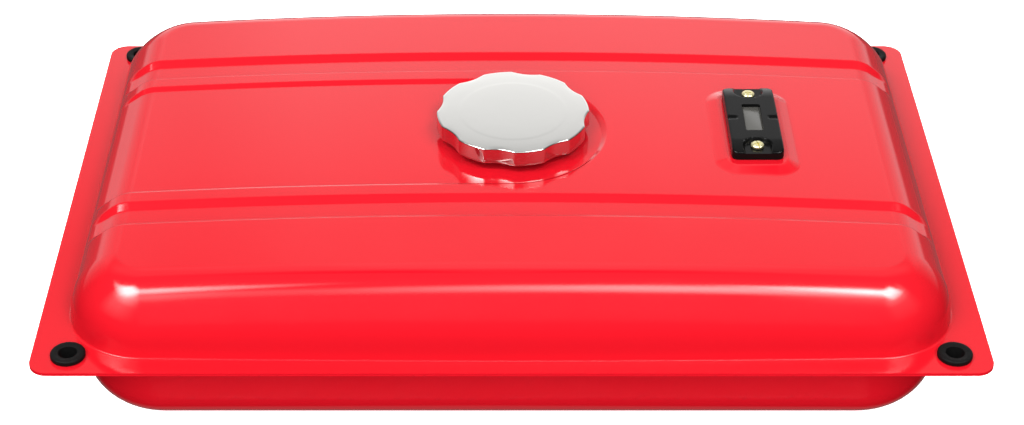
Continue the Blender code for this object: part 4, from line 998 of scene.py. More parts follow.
class FUELTANK_OT_shells(bpy.types.Operator):
    """Make the two painted shells"""

    bl_idname = "fuel_tank.shells"
    bl_label = "Shells"

    def execute(self, context):
        sizes = context.scene.fuel_tank_shells
        grommets = context.scene.fuel_tank_grommets
        filler = context.scene.fuel_tank_filler
        paint = finish("red_paint")
        edge = rounded_rectangle(UPPER_HIGH.x, UPPER_HIGH.y, sizes.flange_corner, steps=12, run=sizes.grid)
        bolts = [round_hole(middle_of(f"grommet_{name}"), grommets.neck + SEAM_GAP) for name in GROMMETS]

        wall = upper_wall(sizes)
        holes = bolts + [round_hole((CAP_X, 0), filler.neck_radius + SEAM_GAP)]
        holes += [round_hole(middle_of(f"gauge_screw_{name}"), sizes.screw_hole) for name in SCREWS]
        opening = (sizes.opening_width / 2, sizes.opening_length / 2, sizes.opening_corner)
        holes.append(hole_at((GAUGE_X, GAUGE_Y), *opening))
        outlines = wall.outlines(foot_steps=6, shoulder_steps=16, corner_steps=16, run=sizes.grid)
        middle = (GAUGE_X, sizes.pad_y)
        for share in shares(steps=12):
            down = share * sizes.pad_slope
            half_x, half_y = sizes.pad_width / 2 - down, sizes.pad_length / 2 - down
            corner = sizes.pad_corner - down
            pad = rounded_rectangle(half_x, half_y, corner, steps=8, run=sizes.pad_run, centre=middle)
            outlines.append(pad)
        lines = relief_lines(sizes, wall, sizes.grid)
        spots = spots_inside(wall, sizes.grid, wall.shoulder_end, wall.shoulder_end)
        places, faces = plan([edge] + outlines, lines, spots, holes)
        mesh = lay_sheet("upper_shell_skin", places, faces, upper_height(sizes, wall), SHEET, 1)
        settle(new_object("upper_shell_skin", mesh, paint), "root", "red_paint", "upper_shell")

        wall = pan_wall(sizes)
        sump = middle_of("outlet_bung")
        holes = bolts + [round_hole(sump, sizes.outlet_hole)]
        outlines = wall.outlines(foot_steps=5, shoulder_steps=18, corner_steps=16, run=sizes.grid)
        for share in shares(steps=8):
            outlines.append(circle(sump, sizes.seat_radius - share * sizes.seat_slope, steps=48))
        spots = spots_inside(wall, 2 * sizes.grid, wall.shoulder_end, wall.shoulder_end)
        places, faces = plan([edge] + outlines, [], spots, holes)
        mesh = lay_sheet("lower_shell_skin", places, faces, pan_height(sizes, wall, sump), SHEET, -1)
        settle(new_object("lower_shell_skin", mesh, paint), "root", "red_paint", "lower_shell")
        return {"FINISHED"}


class FUELTANK_OT_grommets(bpy.types.Operator):
    """Make the four rubber grommets"""

    bl_idname = "fuel_tank.grommets"
    bl_label = "Grommets"

    def execute(self, context):
        sizes = context.scene.fuel_tank_grommets
        top = FLANGE_TOP + sizes.rise
        under = LOWER_FLANGE_BOTTOM - SEAM_GAP
        low = under - sizes.rise
        crest = (sizes.bore + sizes.radius) / 2
        profile = round_profile(
            [
                (sizes.bore, top - sizes.dish, FINE_EDGE),
                (crest, top, sizes.crest_round),
                (sizes.radius, top, sizes.round),
                (sizes.radius, FLANGE_TOP + SEAM_GAP, EDGE),
                (sizes.neck, FLANGE_TOP + SEAM_GAP, 0),
                (sizes.neck, under, 0),
                (sizes.radius, under, EDGE),
                (sizes.radius, low, sizes.round),
                (sizes.bore, low, FINE_EDGE),
            ]
        )
        for name in GROMMETS:
            node = f"grommet_{name}"
            ring = turned(f"{node}_rubber", profile, finish("black_rubber"), middle_of(node), steps=64)
            settle(ring, "root", "black_rubber", node)
        return {"FINISHED"}


def start_tree(name, **kinds):
    """A geometry tree with an input of each kind that is named, and a wire from every input."""
    tree = bpy.data.node_groups.new(name, "GeometryNodeTree")
    for key, kind in kinds.items():
        label = key.replace("_", " ").capitalize()
        tree.interface.new_socket(label, in_out="INPUT", socket_type=f"NodeSocket{kind}")
    tree.interface.new_socket("Geometry", in_out="OUTPUT", socket_type="NodeSocketGeometry")
    sockets = add_node(tree, "NodeGroupInput").outputs
    return tree, {key: Wire(socket) for key, socket in zip(kinds, sockets)}


def end_tree(tree, geometry, material):
    """Ends a tree in plain faces that carry their material."""
    real = add_node(tree, "GeometryNodeRealizeInstances", {"Geometry": geometry})
    inputs = {"Geometry": real.outputs[0], "Material": material}
    painted = add_node(tree, "GeometryNodeSetMaterial", inputs)
    add_node(tree, "NodeGroupOutput", {"Geometry": painted.outputs[0]})
    return tree


def lobed_cap_tree():
    """Geometry nodes that turn a profile round the cap's axis and press the hollows between the lobes.

    Each point of the profile holds its radius in X, its height in Z, and in Y how much of the
    hollow's depth it takes.
    """
    tree, given = start_tree(
        "lobed_cap",
        geometry="Geometry",
        lobes="Int",
        lobe_steps="Int",
        hollow_depth="Float",
        arc_share="Float",
        first_crease="Float",
        axis_x="Float",
        material="Material",
    )
    size = add_node(tree, "GeometryNodeAttributeDomainSize", {"Geometry": given["geometry"]})
    count = Wire(size.outputs["Point Count"])
    steps = given["lobes"] * given["lobe_steps"]
    grid = add_node(tree, "GeometryNodeMeshGrid", {"Vertices X": steps + 1, "Vertices Y": count})

    # The grid's points run up one column after the other; half a point keeps rounding errors away
    index = Wire(add_node(tree, "GeometryNodeInputIndex").outputs[0])
    column = ((index + 0.5) / count).join("FLOOR")
    row = index - column * count
    place = add_node(tree, "GeometryNodeInputPosition").outputs[0]
    inputs = {"Geometry": given["geometry"], "Value": place, "Index": row}
    sample = add_node(tree, "GeometryNodeSampleIndex", inputs, data_type="FLOAT_VECTOR", domain="POINT")
    parts = add_node(tree, "ShaderNodeSeparateXYZ", {0: sample.outputs[0]}).outputs
    full_radius, hollow_share, level = (Wire(part) for part in parts)

    turn = column / steps * (2 * math.pi) + given["first_crease"]
    phase = column.join("FLOORED_MODULO", given["lobe_steps"]) / given["lobe_steps"]
    across_hollow = (phase - given["arc_share"]) / (1 - given["arc_share"])
    side = across_hollow * 2 - 1
    bowl = (1 - side * side).join("MAXIMUM", 0)
    radius = full_radius - bowl * given["hollow_depth"] * hollow_share
    x = radius * turn.join("COSINE") + given["axis_x"]
    y = radius * turn.join("SINE")
    spot = add_node(tree, "ShaderNodeCombineXYZ", {"X": x, "Y": y, "Z": level}).outputs[0]
    laid = add_node(tree, "GeometryNodeSetPosition", {"Geometry": grid.outputs["Mesh"], "Position": spot})
    inputs = {"Geometry": laid.outputs[0], "Distance": MERGE}
    joined = add_node(tree, "GeometryNodeMergeByDistance", inputs)
    return end_tree(tree, joined.outputs[0], given["material"])


def run_tree(obj, tree, **values):
    """Runs a node tree on an object with its inputs set, and keeps the plain mesh."""
    modifier = obj.modifiers.new("shape", "NODES")
    modifier.node_group = tree
    for item in tree.interface.items_tree:
        key = item.name.lower().replace(" ", "_")
        if item.in_out == "INPUT" and key in values:
            modifier[item.identifier] = values[key]
    return bake_modifiers(obj)


def outward(obj):
    """Turns a closed mesh's faces outwards."""
    work = bmesh.new()
    work.from_mesh(obj.data)
    bmesh.ops.remove_doubles(work, verts=work.verts, dist=MERGE)
    bmesh.ops.recalc_face_normals(work, faces=work.faces)
    work.to_mesh(obj.data)
    work.free()
    return obj


class FUELTANK_OT_cap(bpy.types.Operator):
    """Make the chromed filler cap"""

    bl_idname = "fuel_tank.cap"
    bl_label = "Cap"

    def execute(self, context):
        sizes = context.scene.fuel_tank_filler
        radius, sheet, rim = sizes.cap_radius, sizes.cap_sheet, sizes.cap_rim
        top = CAP_HIGH.z - sizes.dome
        low = CAP_LOW.z
        panel = sizes.panel_share * radius
        slope = sizes.panel_slope
        bulge = sizes.hem * sizes.hem_share
        radii = [radius * math.sin(math.pi / 2 * share) for share in shares(steps=20)]
        radii += [panel + slope * (share - 0.5) for share in shares(steps=6)]
        face = []
        for r in sorted(r for r in radii if r < radius - rim):
            dome = sizes.dome * (1 - (r / radius) ** sizes.dome_power)
            step = sizes.panel_step * float(ease((r - panel) / slope + 0.5))
            face.append((r, top + dome - step))
        edge = round_profile(
            [
                face[-1] + (0,),
                (radius, top, rim),
                (radius, low + 2 * sizes.hem, 0),
                (radius + bulge, low + sizes.hem, 0),
                (radius, low, bulge),
                (radius - sheet, low, bulge),
                (radius - sheet, top - sheet, rim - sheet / 2),
                (0, top - sheet + sizes.dome, 0),
            ]
        )
        outline = face[:-1] + edge
        start = radius - sizes.hollow_share * sizes.scallop
        depths = [float(np.clip((r - start) / (radius - sheet - start), 0, 1)) for r, _ in outline]
        weighted = [(r, depth, z) for (r, z), depth in zip(outline, depths)]
        mesh = bpy.data.meshes.new("cap_shell_chrome")
        mesh.from_pydata(weighted, [(i, i + 1) for i in range(len(weighted) - 1)], [])
        cap = new_object("cap_shell_chrome", mesh)
        run_tree(
            cap,
            lobed_cap_tree(),
            lobes=sizes.lobes,
            lobe_steps=sizes.lobe_steps,
            hollow_depth=sizes.scallop,
            arc_share=sizes.arc_share,
            first_crease=sizes.first_crease,
            axis_x=CAP_X,
            material=finish("chrome"),
        )
        shade(outward(cap), degrees=32)
        settle(cap, "cap", "chrome", "cap_shell")
        return {"FINISHED"}


class FUELTANK_OT_neck(bpy.types.Operator):
    """Make the filler neck with its notched lip"""

    bl_idname = "fuel_tank.neck"
    bl_label = "Neck"

    def execute(self, context):
        sizes = context.scene.fuel_tank_filler
        outer, sheet = sizes.neck_radius, sizes.neck_sheet
        top = NECK_HIGH.z
        low = NECK_LOW.z
        base = low + sizes.neck_reach + sheet + SEAM_GAP
        inner = outer - sheet
        profile = round_profile(
            [
                (sizes.lip_bore, top, EDGE),
                (outer, top, sizes.neck_round),
                (outer, base + sheet, BEND),
                (sizes.flange_radius, base + sheet, EDGE),
                (sizes.flange_radius, base, FINE_EDGE),
                (outer, base, 0),
                (outer, low, BEND),
                (sizes.ledge_bore, low, FINE_EDGE),
                (sizes.ledge_bore, low + sheet, FINE_EDGE),
                (inner, low + sheet, EDGE),
                (inner, top - sheet, EDGE),
                (sizes.lip_bore, top - sheet, FINE_EDGE),
            ]
        )
        neck = turned("filler_neck_steel", profile, finish("zinc_steel"), (CAP_X, 0), steps=96)
        half = sizes.notch_width / 2
        notch = rounded_rectangle(half, sizes.notch_reach, sizes.notch_corner, steps=4, centre=(CAP_X, 0))
        cut(neck, block("notch_cutter", notch, top - 2 * sheet, top + sheet))
        shade(neck)
        settle(neck, "root", "zinc_steel", "filler_neck")
        return {"FINISHED"}


def net_tree():
    """Geometry nodes that weave a net round a cylinder: upright threads and rings."""
    tree, given = start_tree(
        "strainer_net",
        radius="Float",
        height="Float",
        low="Float",
        axis_x="Float",
        pitch="Float",
        thread="Float",
        material="Material",
    )
    around = (given["radius"] * (2 * math.pi) / given["pitch"]).join("ROUND")
    rows = (given["height"] / given["pitch"]).join("ROUND")
    inputs = {"Resolution": 4, "Radius": given["thread"]}
    thread = add_node(tree, "GeometryNodeCurvePrimitiveCircle", inputs).outputs["Curve"]
    high = add_node(tree, "ShaderNodeCombineXYZ", {"Z": given["height"]}).outputs[0]
    line = add_node(tree, "GeometryNodeCurvePrimitiveLine", {"End": high}).outputs["Curve"]
    inputs = {"Curve": line, "Profile Curve": thread, "Fill Caps": True}
    upright = add_node(tree, "GeometryNodeCurveToMesh", inputs).outputs[0]
    stand = add_node(tree, "GeometryNodeMeshCircle", {"Vertices": around, "Radius": given["radius"]})
    inputs = {"Points": stand.outputs["Mesh"], "Instance": upright}
    uprights = add_node(tree, "GeometryNodeInstanceOnPoints", inputs).outputs[0]
    inputs = {"Resolution": 64, "Radius": given["radius"]}
    ring = add_node(tree, "GeometryNodeCurvePrimitiveCircle", inputs).outputs["Curve"]
    hoop = add_node(tree, "GeometryNodeCurveToMesh", {"Curve": ring, "Profile Curve": thread}).outputs[0]
    climb = add_node(tree, "ShaderNodeCombineXYZ", {"Z": given["pitch"]}).outputs[0]
    tower = add_node(tree, "GeometryNodeMeshLine", {"Count": rows, "Offset": climb}, mode="OFFSET")
    inputs = {"Points": tower.outputs["Mesh"], "Instance": hoop}
    hoops = add_node(tree, "GeometryNodeInstanceOnPoints", inputs).outputs[0]
    both = add_node(tree, "GeometryNodeJoinGeometry")
    for threads in (uprights, hoops):
        tree.links.new(threads, both.inputs[0])
    spot = add_node(tree, "ShaderNodeCombineXYZ", {"X": given["axis_x"], "Z": given["low"]}).outputs[0]
    inputs = {"Geometry": both.outputs[0], "Translation": spot}
    moved = add_node(tree, "GeometryNodeTransform", inputs)
    return end_tree(tree, moved.outputs[0], given["material"])


class FUELTANK_OT_strainer(bpy.types.Operator):
    """Make the strainer basket and its net"""

    bl_idname = "fuel_tank.strainer"
    bl_label = "Strainer"

    def execute(self, context):
        sizes = context.scene.fuel_tank_filler
        radius = sizes.ledge_bore - SEAM_GAP
        rim = sizes.lip_bore - SEAM_GAP
        seat = NECK_LOW.z + sizes.neck_sheet + SEAM_GAP
        top, floor = BASKET_HIGH.z, BASKET_LOW.z
        bore = radius - sizes.basket_wall
        profile = round_profile(
            [
                (bore, top, EDGE),
                (rim, top, sizes.basket_rim),
                (rim, seat, FINE_EDGE),
                (radius, seat, 0),
                (radius, floor, sizes.basket_foot),
                (0, floor, 0),
                (0, floor + sizes.basket_wall, 0),
                (bore, floor + sizes.basket_wall, BEND),
            ]
        )
        nylon = finish("nylon")
        basket = turned("strainer_basket_frame", profile, nylon, (CAP_X, 0), steps=96)
        low, high = floor + sizes.basket_hoop, seat - sizes.basket_hoop
        tools = []
        for arm in range(sizes.basket_arms):
            turn = math.pi * arm / sizes.basket_arms
            window = rectangle(sizes.basket_window / 2, sizes.neck_radius, (CAP_X, 0), turn)
            tools.append(block(f"window_cutter_{arm}", window, low, high))
        cut(basket, *tools)
        shade(basket)
        settle(basket, "root", "nylon", "strainer_basket")
        net = new_object("strainer_net", bpy.data.meshes.new("strainer_net"))
        run_tree(
            net,
            net_tree(),
            radius=bore + sizes.basket_wall / 2,
            height=high - low,
            low=low,
            axis_x=CAP_X,
            pitch=sizes.net_pitch,
            thread=sizes.net_thread,
            material=nylon,
        )
        settle(net, "root", "nylon")
        return {"FINISHED"}


def housing_height(sizes, wall):
    """The function of the housing's top, with its falling ends, scoops and half-moon notches."""
    half_length = (HOUSING_HIGH.y - HOUSING_LOW.y) / 2
    half_width = (HOUSING_HIGH.x - HOUSING_LOW.x) / 2
    spread = sizes.scoop_slope
    corner = sizes.scoop_corner + spread
    scoop_half = (sizes.scoop_length + spread + corner) / 2
    scoop_middle = half_length + corner - scoop_half

    def height(x, y):
        dx, dy = np.abs(x - GAUGE_X), np.abs(y - GAUGE_Y)
        fall = sizes.fall_depth * np.clip((dy - half_length) / sizes.fall_run + 1, 0, 1) ** 2
        in_scoop = inset(dx, dy - scoop_middle, sizes.scoop_width / 2 + spread, scoop_half, corner)
        scoop = pressed_step(in_scoop / spread)
        notch_in = ease((dx - (half_width - sizes.notch_length)) / sizes.notch_half)
        notch = np.maximum(1 - ((y - GAUGE_Y) / sizes.notch_half) ** 2, 0) * notch_in
        rim = wall.rise(wall.inset(x - GAUGE_X, y - GAUGE_Y)) * (1 - fall / wall.height)
        sunk = fall + (sizes.scoop_depth - fall) * scoop + sizes.notch_depth * notch
        return HOUSING_LOW.z + np.minimum(rim, wall.height - sunk)

    return height


class FUELTANK_OT_gauge(bpy.types.Operator):
    """Make the gauge's housing and its lens"""

    bl_idname = "fuel_tank.gauge"
    bl_label = "Gauge"

    def execute(self, context):
        sizes = context.scene.fuel_tank_gauge
        low, high = HOUSING_LOW.z, HOUSING_HIGH.z
        half_x, half_y = (HOUSING_HIGH.x - HOUSING_LOW.x) / 2, (HOUSING_HIGH.y - HOUSING_LOW.y) / 2
        foot, lean = sizes.foot_round, sizes.side_lean
        wall = PressedWall(half_x, half_y, sizes.corner, foot, lean, sizes.round, high - low)
        centre = (GAUGE_X, GAUGE_Y)
        outlines = []
        for outline in wall.outlines(foot_steps=1, shoulder_steps=7, corner_steps=10, run=sizes.edge_run):
            outlines.append([(x + GAUGE_X, y + GAUGE_Y) for x, y in outline])
        spots = spots_inside(wall, sizes.grid, 0, wall.shoulder_end + sizes.grid / 2, centre)
        places, faces = plan(outlines, [], spots, [])
        mesh = lay_block("gauge_housing_abs", places, faces, housing_height(sizes, wall), low)
        housing = new_object("gauge_housing_abs", mesh, finish("black_plastic"))
        half_window = (sizes.window_width / 2, sizes.window_length / 2)
        window = rounded_rectangle(*half_window, sizes.window_corner, steps=5, centre=centre)
        half_chamber = (half_x - sizes.wall, sizes.chamber_length / 2)
        chamber = rounded_rectangle(*half_chamber, sizes.chamber_corner, steps=4, centre=centre)
        tools = [
            block("window_cutter", window, low, high + sizes.ceiling),
            block("chamber_cutter", chamber, low - sizes.ceiling, high - sizes.ceiling),
        ]
        for name in SCREWS:
            hole = circle(middle_of(f"gauge_screw_{name}"), sizes.screw_radius + SEAM_GAP, steps=32)
            tools.append(block(f"screw_cutter_{name}", hole, low - sizes.ceiling, high))
        cut(outward(housing), *tools)
        shade(housing, degrees=30)
        settle(housing, "root", "black_plastic", "gauge_housing")
        self.make_lens(sizes, half_window, centre)
        return {"FINISHED"}

    def make_lens(self, sizes, half_window, centre):
        """The lens, whose face stands up in the window from a rim under the housing."""
        lap = ((LENS_HIGH.x - LENS_LOW.x) / 2, (LENS_HIGH.y - LENS_LOW.y) / 2)
        rim = LENS_HIGH.z - sizes.lens_rebate
        rings = (
            (lap, LENS_LOW.z),
            (lap, rim),
            ([half - sizes.lens_gap for half in half_window], rim),
            ([half - sizes.lens_border for half in half_window], LENS_HIGH.z),
        )
        verts = []
        for halves, z in rings:
            outline = rounded_rectangle(*halves, sizes.lens_corner, steps=5, centre=centre)
            verts += [(x, y, z) for x, y in outline]
        count = len(outline)
        faces = [tuple(range(count))[::-1], tuple(range(3 * count, 4 * count))]
        for level in range(len(rings) - 1):
            first, above = level * count, (level + 1) * count
            for i in range(count):
                j = (i + 1) % count
                faces.append((first + i, first + j, above + j, above + i))
        lens = new_object("gauge_lens_pane", mesh_of("gauge_lens_pane", verts, faces), finish("clear_lens"))
        soften = lens.modifiers.new("soften", "BEVEL")
        soften.width = sizes.lens_round
        soften.segments = 3
        soften.limit_method = "ANGLE"
        soften.angle_limit = math.radians(20)
        shade(bake_modifiers(lens), degrees=40)
        settle(lens, "root", "clear_lens", "gauge_lens")


# The flat of a screw's head by its radius, the dome and the upright side by its height, and how much
# narrower the cross is at its bottom
HEAD_FLAT_SHARE = 0.72
HEAD_DOME_SHARE = 0.04
HEAD_SIDE_SHARE = 0.62
CROSS_TAPER_SHARE = 0.45


class FUELTANK_OT_screws(bpy.types.Operator):
    """Make the gauge's two screws with their cross and slot"""

    bl_idname = "fuel_tank.screws"
    bl_label = "Screws"

    def execute(self, context):
        sizes = context.scene.fuel_tank_gauge
        for name, degrees in SCREWS.items():
            node = f"gauge_screw_{name}"
            low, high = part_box(node)
            seat = high.z - sizes.head_height
            centre = middle_of(node)
            round_start = (HEAD_FLAT_SHARE * sizes.head_radius, high.z - HEAD_DOME_SHARE * sizes.head_height)
            round_end = (sizes.head_radius, seat + HEAD_SIDE_SHARE * sizes.head_height)
            profile = round_profile(
                [
                    (0, high.z, 0),
                    (*round_start, sizes.head_round),
                    (*round_end, sizes.head_round),
                    (sizes.head_radius, seat, FINE_EDGE),
                    (sizes.screw_radius, seat, 0),
                    (sizes.screw_radius, low.z, sizes.tip_round),
                    (0, low.z, 0),
                ]
            )
            screw = turned(node + "_plated", profile, finish("yellow_zinc"), centre, steps=64)
            turn = math.radians(degrees)
            deep = high.z - sizes.cross_depth
            above = high.z + sizes.head_height
            tools = []
            for arm in (0, math.pi / 2):
                outline = rectangle(sizes.cross_reach, sizes.cross_width / 2, centre, turn + arm)
                tools.append(block(f"cross_cutter_{name}", outline, deep, high.z + EDGE, CROSS_TAPER_SHARE))
            slot = rectangle(sizes.slot_width / 2, 2 * sizes.head_radius, centre, turn)
            tools.append(block(f"slot_cutter_{name}", slot, high.z - sizes.slot_depth, above))
            cut(screw, *tools)
            shade(screw, degrees=30)
            settle(screw, "root", "yellow_zinc", node)
        return {"FINISHED"}


class FUELTANK_OT_bung(bpy.types.Operator):
    """Make the threaded outlet bush"""

    bl_idname = "fuel_tank.bung"
    bl_label = "Outlet bush"

    def execute(self, context):
        sizes = context.scene.fuel_tank_outlet
        low, high = BUNG_LOW.z, BUNG_HIGH.z
        seat = low + sizes.flange
        flange = (BUNG_HIGH.x - BUNG_LOW.x) / 2
        root = sizes.bore + sizes.thread_depth
        threads = int((high - low - 2 * sizes.lead) / sizes.pitch)
        thread = []
        for turn in range(threads):
            start = high - sizes.lead - turn * sizes.pitch
            thread += [(root, start), (sizes.bore, start - sizes.pitch / 2)]
        profile = [(root, high), (sizes.body, high), (sizes.body, seat), (flange, seat), (flange, low)]
        profile += [(root, low)] + thread[::-1]
        centre = middle_of("outlet_bung")
        bung = turned("outlet_bush_steel", profile, finish("zinc_steel"), centre, steps=64, degrees=25)
        settle(bung, "root", "zinc_steel", "outlet_bung")
        return {"FINISHED"}


CARRIED_SLOTS = {
    "cap_gasket": "black_rubber",
    "cap_pressure_plate": "zinc_steel",
    "cap_spring": "spring_steel",
    "cap_vent_disc": "foam",
    "cap_rivet": "zinc_steel",
    "cap_lock_plate": "zinc_steel",
    "gauge_gasket": "black_rubber",
    "gauge_frame": "zinc_steel",
    "gauge_pivot_pin": "spring_steel",
    "gauge_drum": "nylon",
    "float_arm": "spring_steel",
    "float": "foam",
    "float_clip_inner": "spring_steel",
    "float_clip_outer": "spring_steel",
    "weld_nut_front": "zinc_steel",
    "weld_nut_rear": "zinc_steel",
}


class FUELTANK_OT_carried(bpy.types.Operator):
    """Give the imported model's own pieces their finishes"""

    bl_idname = "fuel_tank.carried"
    bl_label = "Inner pieces"

    def execute(self, context):
        for node, slot in CARRIED_SLOTS.items():
            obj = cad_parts[node]
            obj.data.materials.clear()
            obj.data.materials.append(finish(slot))
        return {"FINISHED"}


def softbox(name, studio, height, climb, power):
    """A rectangular light in front of the tank and aimed at it, which no surface mirrors."""
    light = bpy.data.lights.new(name, "AREA")
    light.shape = "RECTANGLE"
    light.size, light.size_y = studio.light_width, height
    light.energy = power
    way = Vector((0, -math.cos(climb), math.sin(climb)))
    obj = bpy.data.objects.new(name, light)
    obj.location = way * studio.light_reach + Vector((0, 0, FLANGE_TOP))
    obj.rotation_euler = (-way).to_track_quat("-Z", "Y").to_euler()
    obj.visible_glossy = False
    bpy.context.scene.collection.objects.link(obj)


# The sky in front. A turn is in radians from straight ahead, a side is -1 for left and 1 for right,
# and a height is a share of straight up. A slope has its start and its end, then its value at each
# where these aren't 0 and 1.
BOX_LEVEL = 0.84
BOX_GLOW = 29.0
BOXES = {
    -1: {
        "lean": 3.3,
        "near": (0.46, 0.80),
        "far": (1.15, 1.32),
        "foot": (0.69, 0.84),
        "head": (0.882, 0.918),
    },
    1: {
        "lean": 1.6,
        "near": (0.43, 0.62),
        "far": (1.02, 1.16),
        "foot": (0.715, 0.835),
        "head": (0.875, 0.905),
    },
}
HAZES = {
    -1: {"near": (0.30, 0.85), "low": 2.1, "high": 8.4},
    1: {"near": (0.28, 0.60), "low": 0.8, "high": 3.6},
}
HAZE_FAR = (1.15, 1.45)
HAZE_HEAD = (0.77, 0.87, 1.0, 0.0)
HAZE_LOW = (0.22, 0.66)
HAZE_HIGH = (0.62, 0.78)
STRIP_TILT = 0.05
STRIP_FOOT = (0.765, 0.83)
STRIP_HEAD = (0.85, 0.885)
STRIP_GLOW = (-0.2, 0.2, 1.6, 9.8)
STRIP_LEFT_GLOW = (-0.5, -0.3, 1.4, 0.0)
STRIP_ENDS = (0.60, 0.75, 1.0, 0.0)
FRONT_GLOW = (0.0, 0.9, 0.05, 0.18)

# The sky behind, its fall to both ends of the tank and overhead, and the part below the flange
REAR_GLOW = (0.494, 0.575, 1.48, 0.60)
REAR_FOOT_GLOW = (0.1, 0.494, 0.6, 0.0)
REAR_LEFT_END = (-0.21, -0.13, 0.68, 1.0)
REAR_RIGHT_END = (0.13, 0.30, 1.0, 0.78)
REAR_FAR_ENDS = (0.31, 0.42, 1.0, 0.62)
REAR_HIGH_GLOW = (0.575, 0.7, 0.0, 0.28)
OVERHEAD = (0.93, 0.985, 0.0, -0.64)
BEHIND = (2.0, 2.45)
BELOW_FRONT_GLOW = (-0.7, -0.1, 0.0, 0.03)
BELOW_REAR_GLOW = 0.15
HORIZON = (-0.02, 0.02)


def bright_box(rise, turn, side, lean, near, far, foot, head):
    """A leaning bright box at one side."""
    across = (turn * side + (rise - BOX_LEVEL) * lean).band(near, far)
    return across * rise.band(foot, head) * BOX_GLOW


def haze(rise, turn, side, near, low, high):
    """The soft glow under a box."""
    across = (turn * side).band(near, HAZE_FAR)
    up = rise.ramp(*HAZE_LOW, 0.0, low) + rise.ramp(*HAZE_HIGH, 0.0, high)
    return across * up * rise.ramp(*HAZE_HEAD)


def studio_sky():
    """A dim sky with two bright boxes high in front, a thin strip between them and a soft rear."""
    world = bpy.data.worlds.new("studio")
    world.use_nodes = True
    tree = world.node_tree
    way = add_node(tree, "ShaderNodeTexCoord").outputs["Generated"]
    parts = add_node(tree, "ShaderNodeSeparateXYZ", {0: way}).outputs
    right, rearward, rise = (Wire(part) for part in parts)
    turn = right.join("ARCTAN2", rearward * -1)
    either_turn = turn.join("ABSOLUTE")

    front = rise.ramp(*FRONT_GLOW)
    for side, box in BOXES.items():
        front = front + bright_box(rise, turn, side, **box) + haze(rise, turn, side, **HAZES[side])
    strip = (rise - turn * STRIP_TILT).band(STRIP_FOOT, STRIP_HEAD) * either_turn.ramp(*STRIP_ENDS)
    front = front + strip * (turn.ramp(*STRIP_GLOW) + turn.ramp(*STRIP_LEFT_GLOW))

    sideways = right.join("ARCTAN2", rearward)
    ends = sideways.ramp(*REAR_LEFT_END).join("MINIMUM", sideways.ramp(*REAR_RIGHT_END))
    ends = ends * sideways.join("ABSOLUTE").ramp(*REAR_FAR_ENDS)
    rear = (rise.ramp(*REAR_GLOW) + rise.ramp(*REAR_FOOT_GLOW)) * ends
    rear = rear + rise.ramp(*REAR_HIGH_GLOW) + rise.ramp(*OVERHEAD)

    behind = either_turn.ramp(*BEHIND)
    above = behind.between(front, rear)
    below = behind.between(rise.ramp(*BELOW_FRONT_GLOW), BELOW_REAR_GLOW)
    glow = rise.ramp(*HORIZON).between(below, above)
    back = tree.nodes["Background"]
    tree.links.new(glow.socket, back.inputs["Strength"])
    back.inputs["Color"].default_value = (1, 1, 1, 1)
    bpy.context.scene.world = world


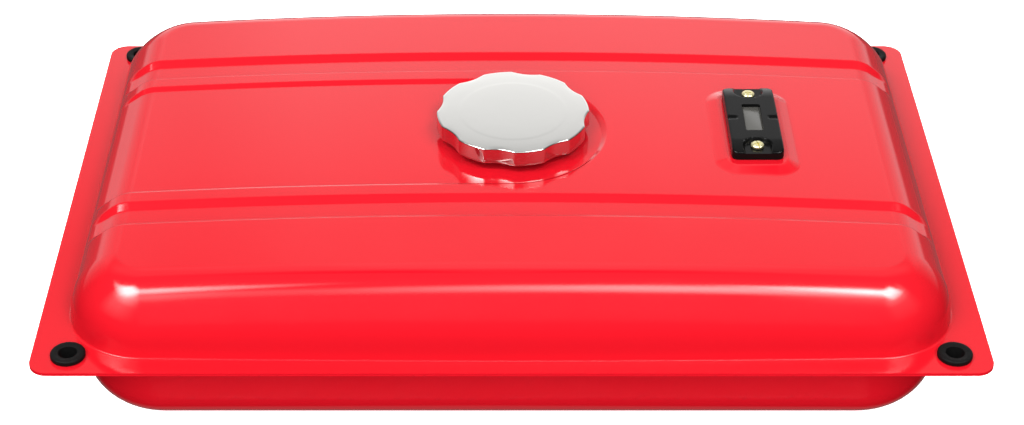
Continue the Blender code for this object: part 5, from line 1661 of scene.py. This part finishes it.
class FUELTANK_OT_studio(bpy.types.Operator):
    """Make the floor, the lights and the camera"""

    bl_idname = "fuel_tank.studio"
    bl_label = "Studio"

    def execute(self, context):
        studio = context.scene.fuel_tank_studio
        half = studio.floor_size / 2
        drop = CAD_BOUNDS[0][2] - SEAM_GAP
        corners = [(x, y, drop) for x, y in rectangle(half, half)]
        floor = new_object("floor", mesh_of("floor", corners, [(2, 3, 0, 1)]), finish("floor"))
        floor.visible_glossy = False
        floor.visible_diffuse = False
        floor.visible_shadow = False
        softbox("front_fill", studio, studio.front_height, studio.front_climb, studio.front_power)
        softbox("low_fill", studio, studio.low_height, studio.low_climb, studio.low_power)
        studio_sky()
        camera = bpy.data.cameras.new("camera")
        camera.lens = studio.focal_length
        camera.shift_x = studio.shift
        camera.clip_start = studio.nearest
        eye = bpy.data.objects.new("camera", camera)
        eye.location = (studio.camera_x, studio.camera_y, FLANGE_TOP + studio.camera_rise)
        eye.rotation_euler = (math.pi / 2 - studio.camera_pitch, 0, 0)
        context.scene.collection.objects.link(eye)
        context.scene.camera = eye
        context.scene.view_settings.view_transform = "Standard"
        return {"FINISHED"}


class FUELTANK_PT_panel(bpy.types.Panel):
    """Lists the tank's pieces in the sidebar"""

    bl_idname = "FUELTANK_PT_panel"
    bl_label = "Fuel tank"
    bl_space_type = "VIEW_3D"
    bl_region_type = "UI"
    bl_category = "Fuel tank"

    def draw(self, context):
        for operator in OPERATORS:
            self.layout.operator(operator.bl_idname)


OPERATORS = (
    FUELTANK_OT_studio,
    FUELTANK_OT_shells,
    FUELTANK_OT_grommets,
    FUELTANK_OT_cap,
    FUELTANK_OT_neck,
    FUELTANK_OT_strainer,
    FUELTANK_OT_gauge,
    FUELTANK_OT_screws,
    FUELTANK_OT_bung,
    FUELTANK_OT_carried,
)
GROUPS = {
    "fuel_tank_shells": FuelTankShells,
    "fuel_tank_grommets": FuelTankGrommets,
    "fuel_tank_filler": FuelTankFiller,
    "fuel_tank_gauge": FuelTankGauge,
    "fuel_tank_outlet": FuelTankOutlet,
    "fuel_tank_finish": FuelTankFinish,
    "fuel_tank_studio": FuelTankStudio,
}


def register():
    """Registers the classes and their properties."""
    for group in GROUPS.values():
        bpy.utils.register_class(group)
    for name, group in GROUPS.items():
        setattr(bpy.types.Scene, name, PointerProperty(type=group))
    for operator in OPERATORS:
        bpy.utils.register_class(operator)
    bpy.utils.register_class(FUELTANK_PT_panel)


def unregister():
    """Removes the classes and their properties."""
    bpy.utils.unregister_class(FUELTANK_PT_panel)
    for operator in reversed(OPERATORS):
        bpy.utils.unregister_class(operator)
    for name in GROUPS:
        delattr(bpy.types.Scene, name)
    for group in reversed(tuple(GROUPS.values())):
        bpy.utils.unregister_class(group)


def main():
    """Makes every piece."""
    register()
    for operator in OPERATORS:
        family, name = operator.bl_idname.split(".")
        getattr(getattr(bpy.ops, family), name)()


if __name__ == "__main__":
    main()
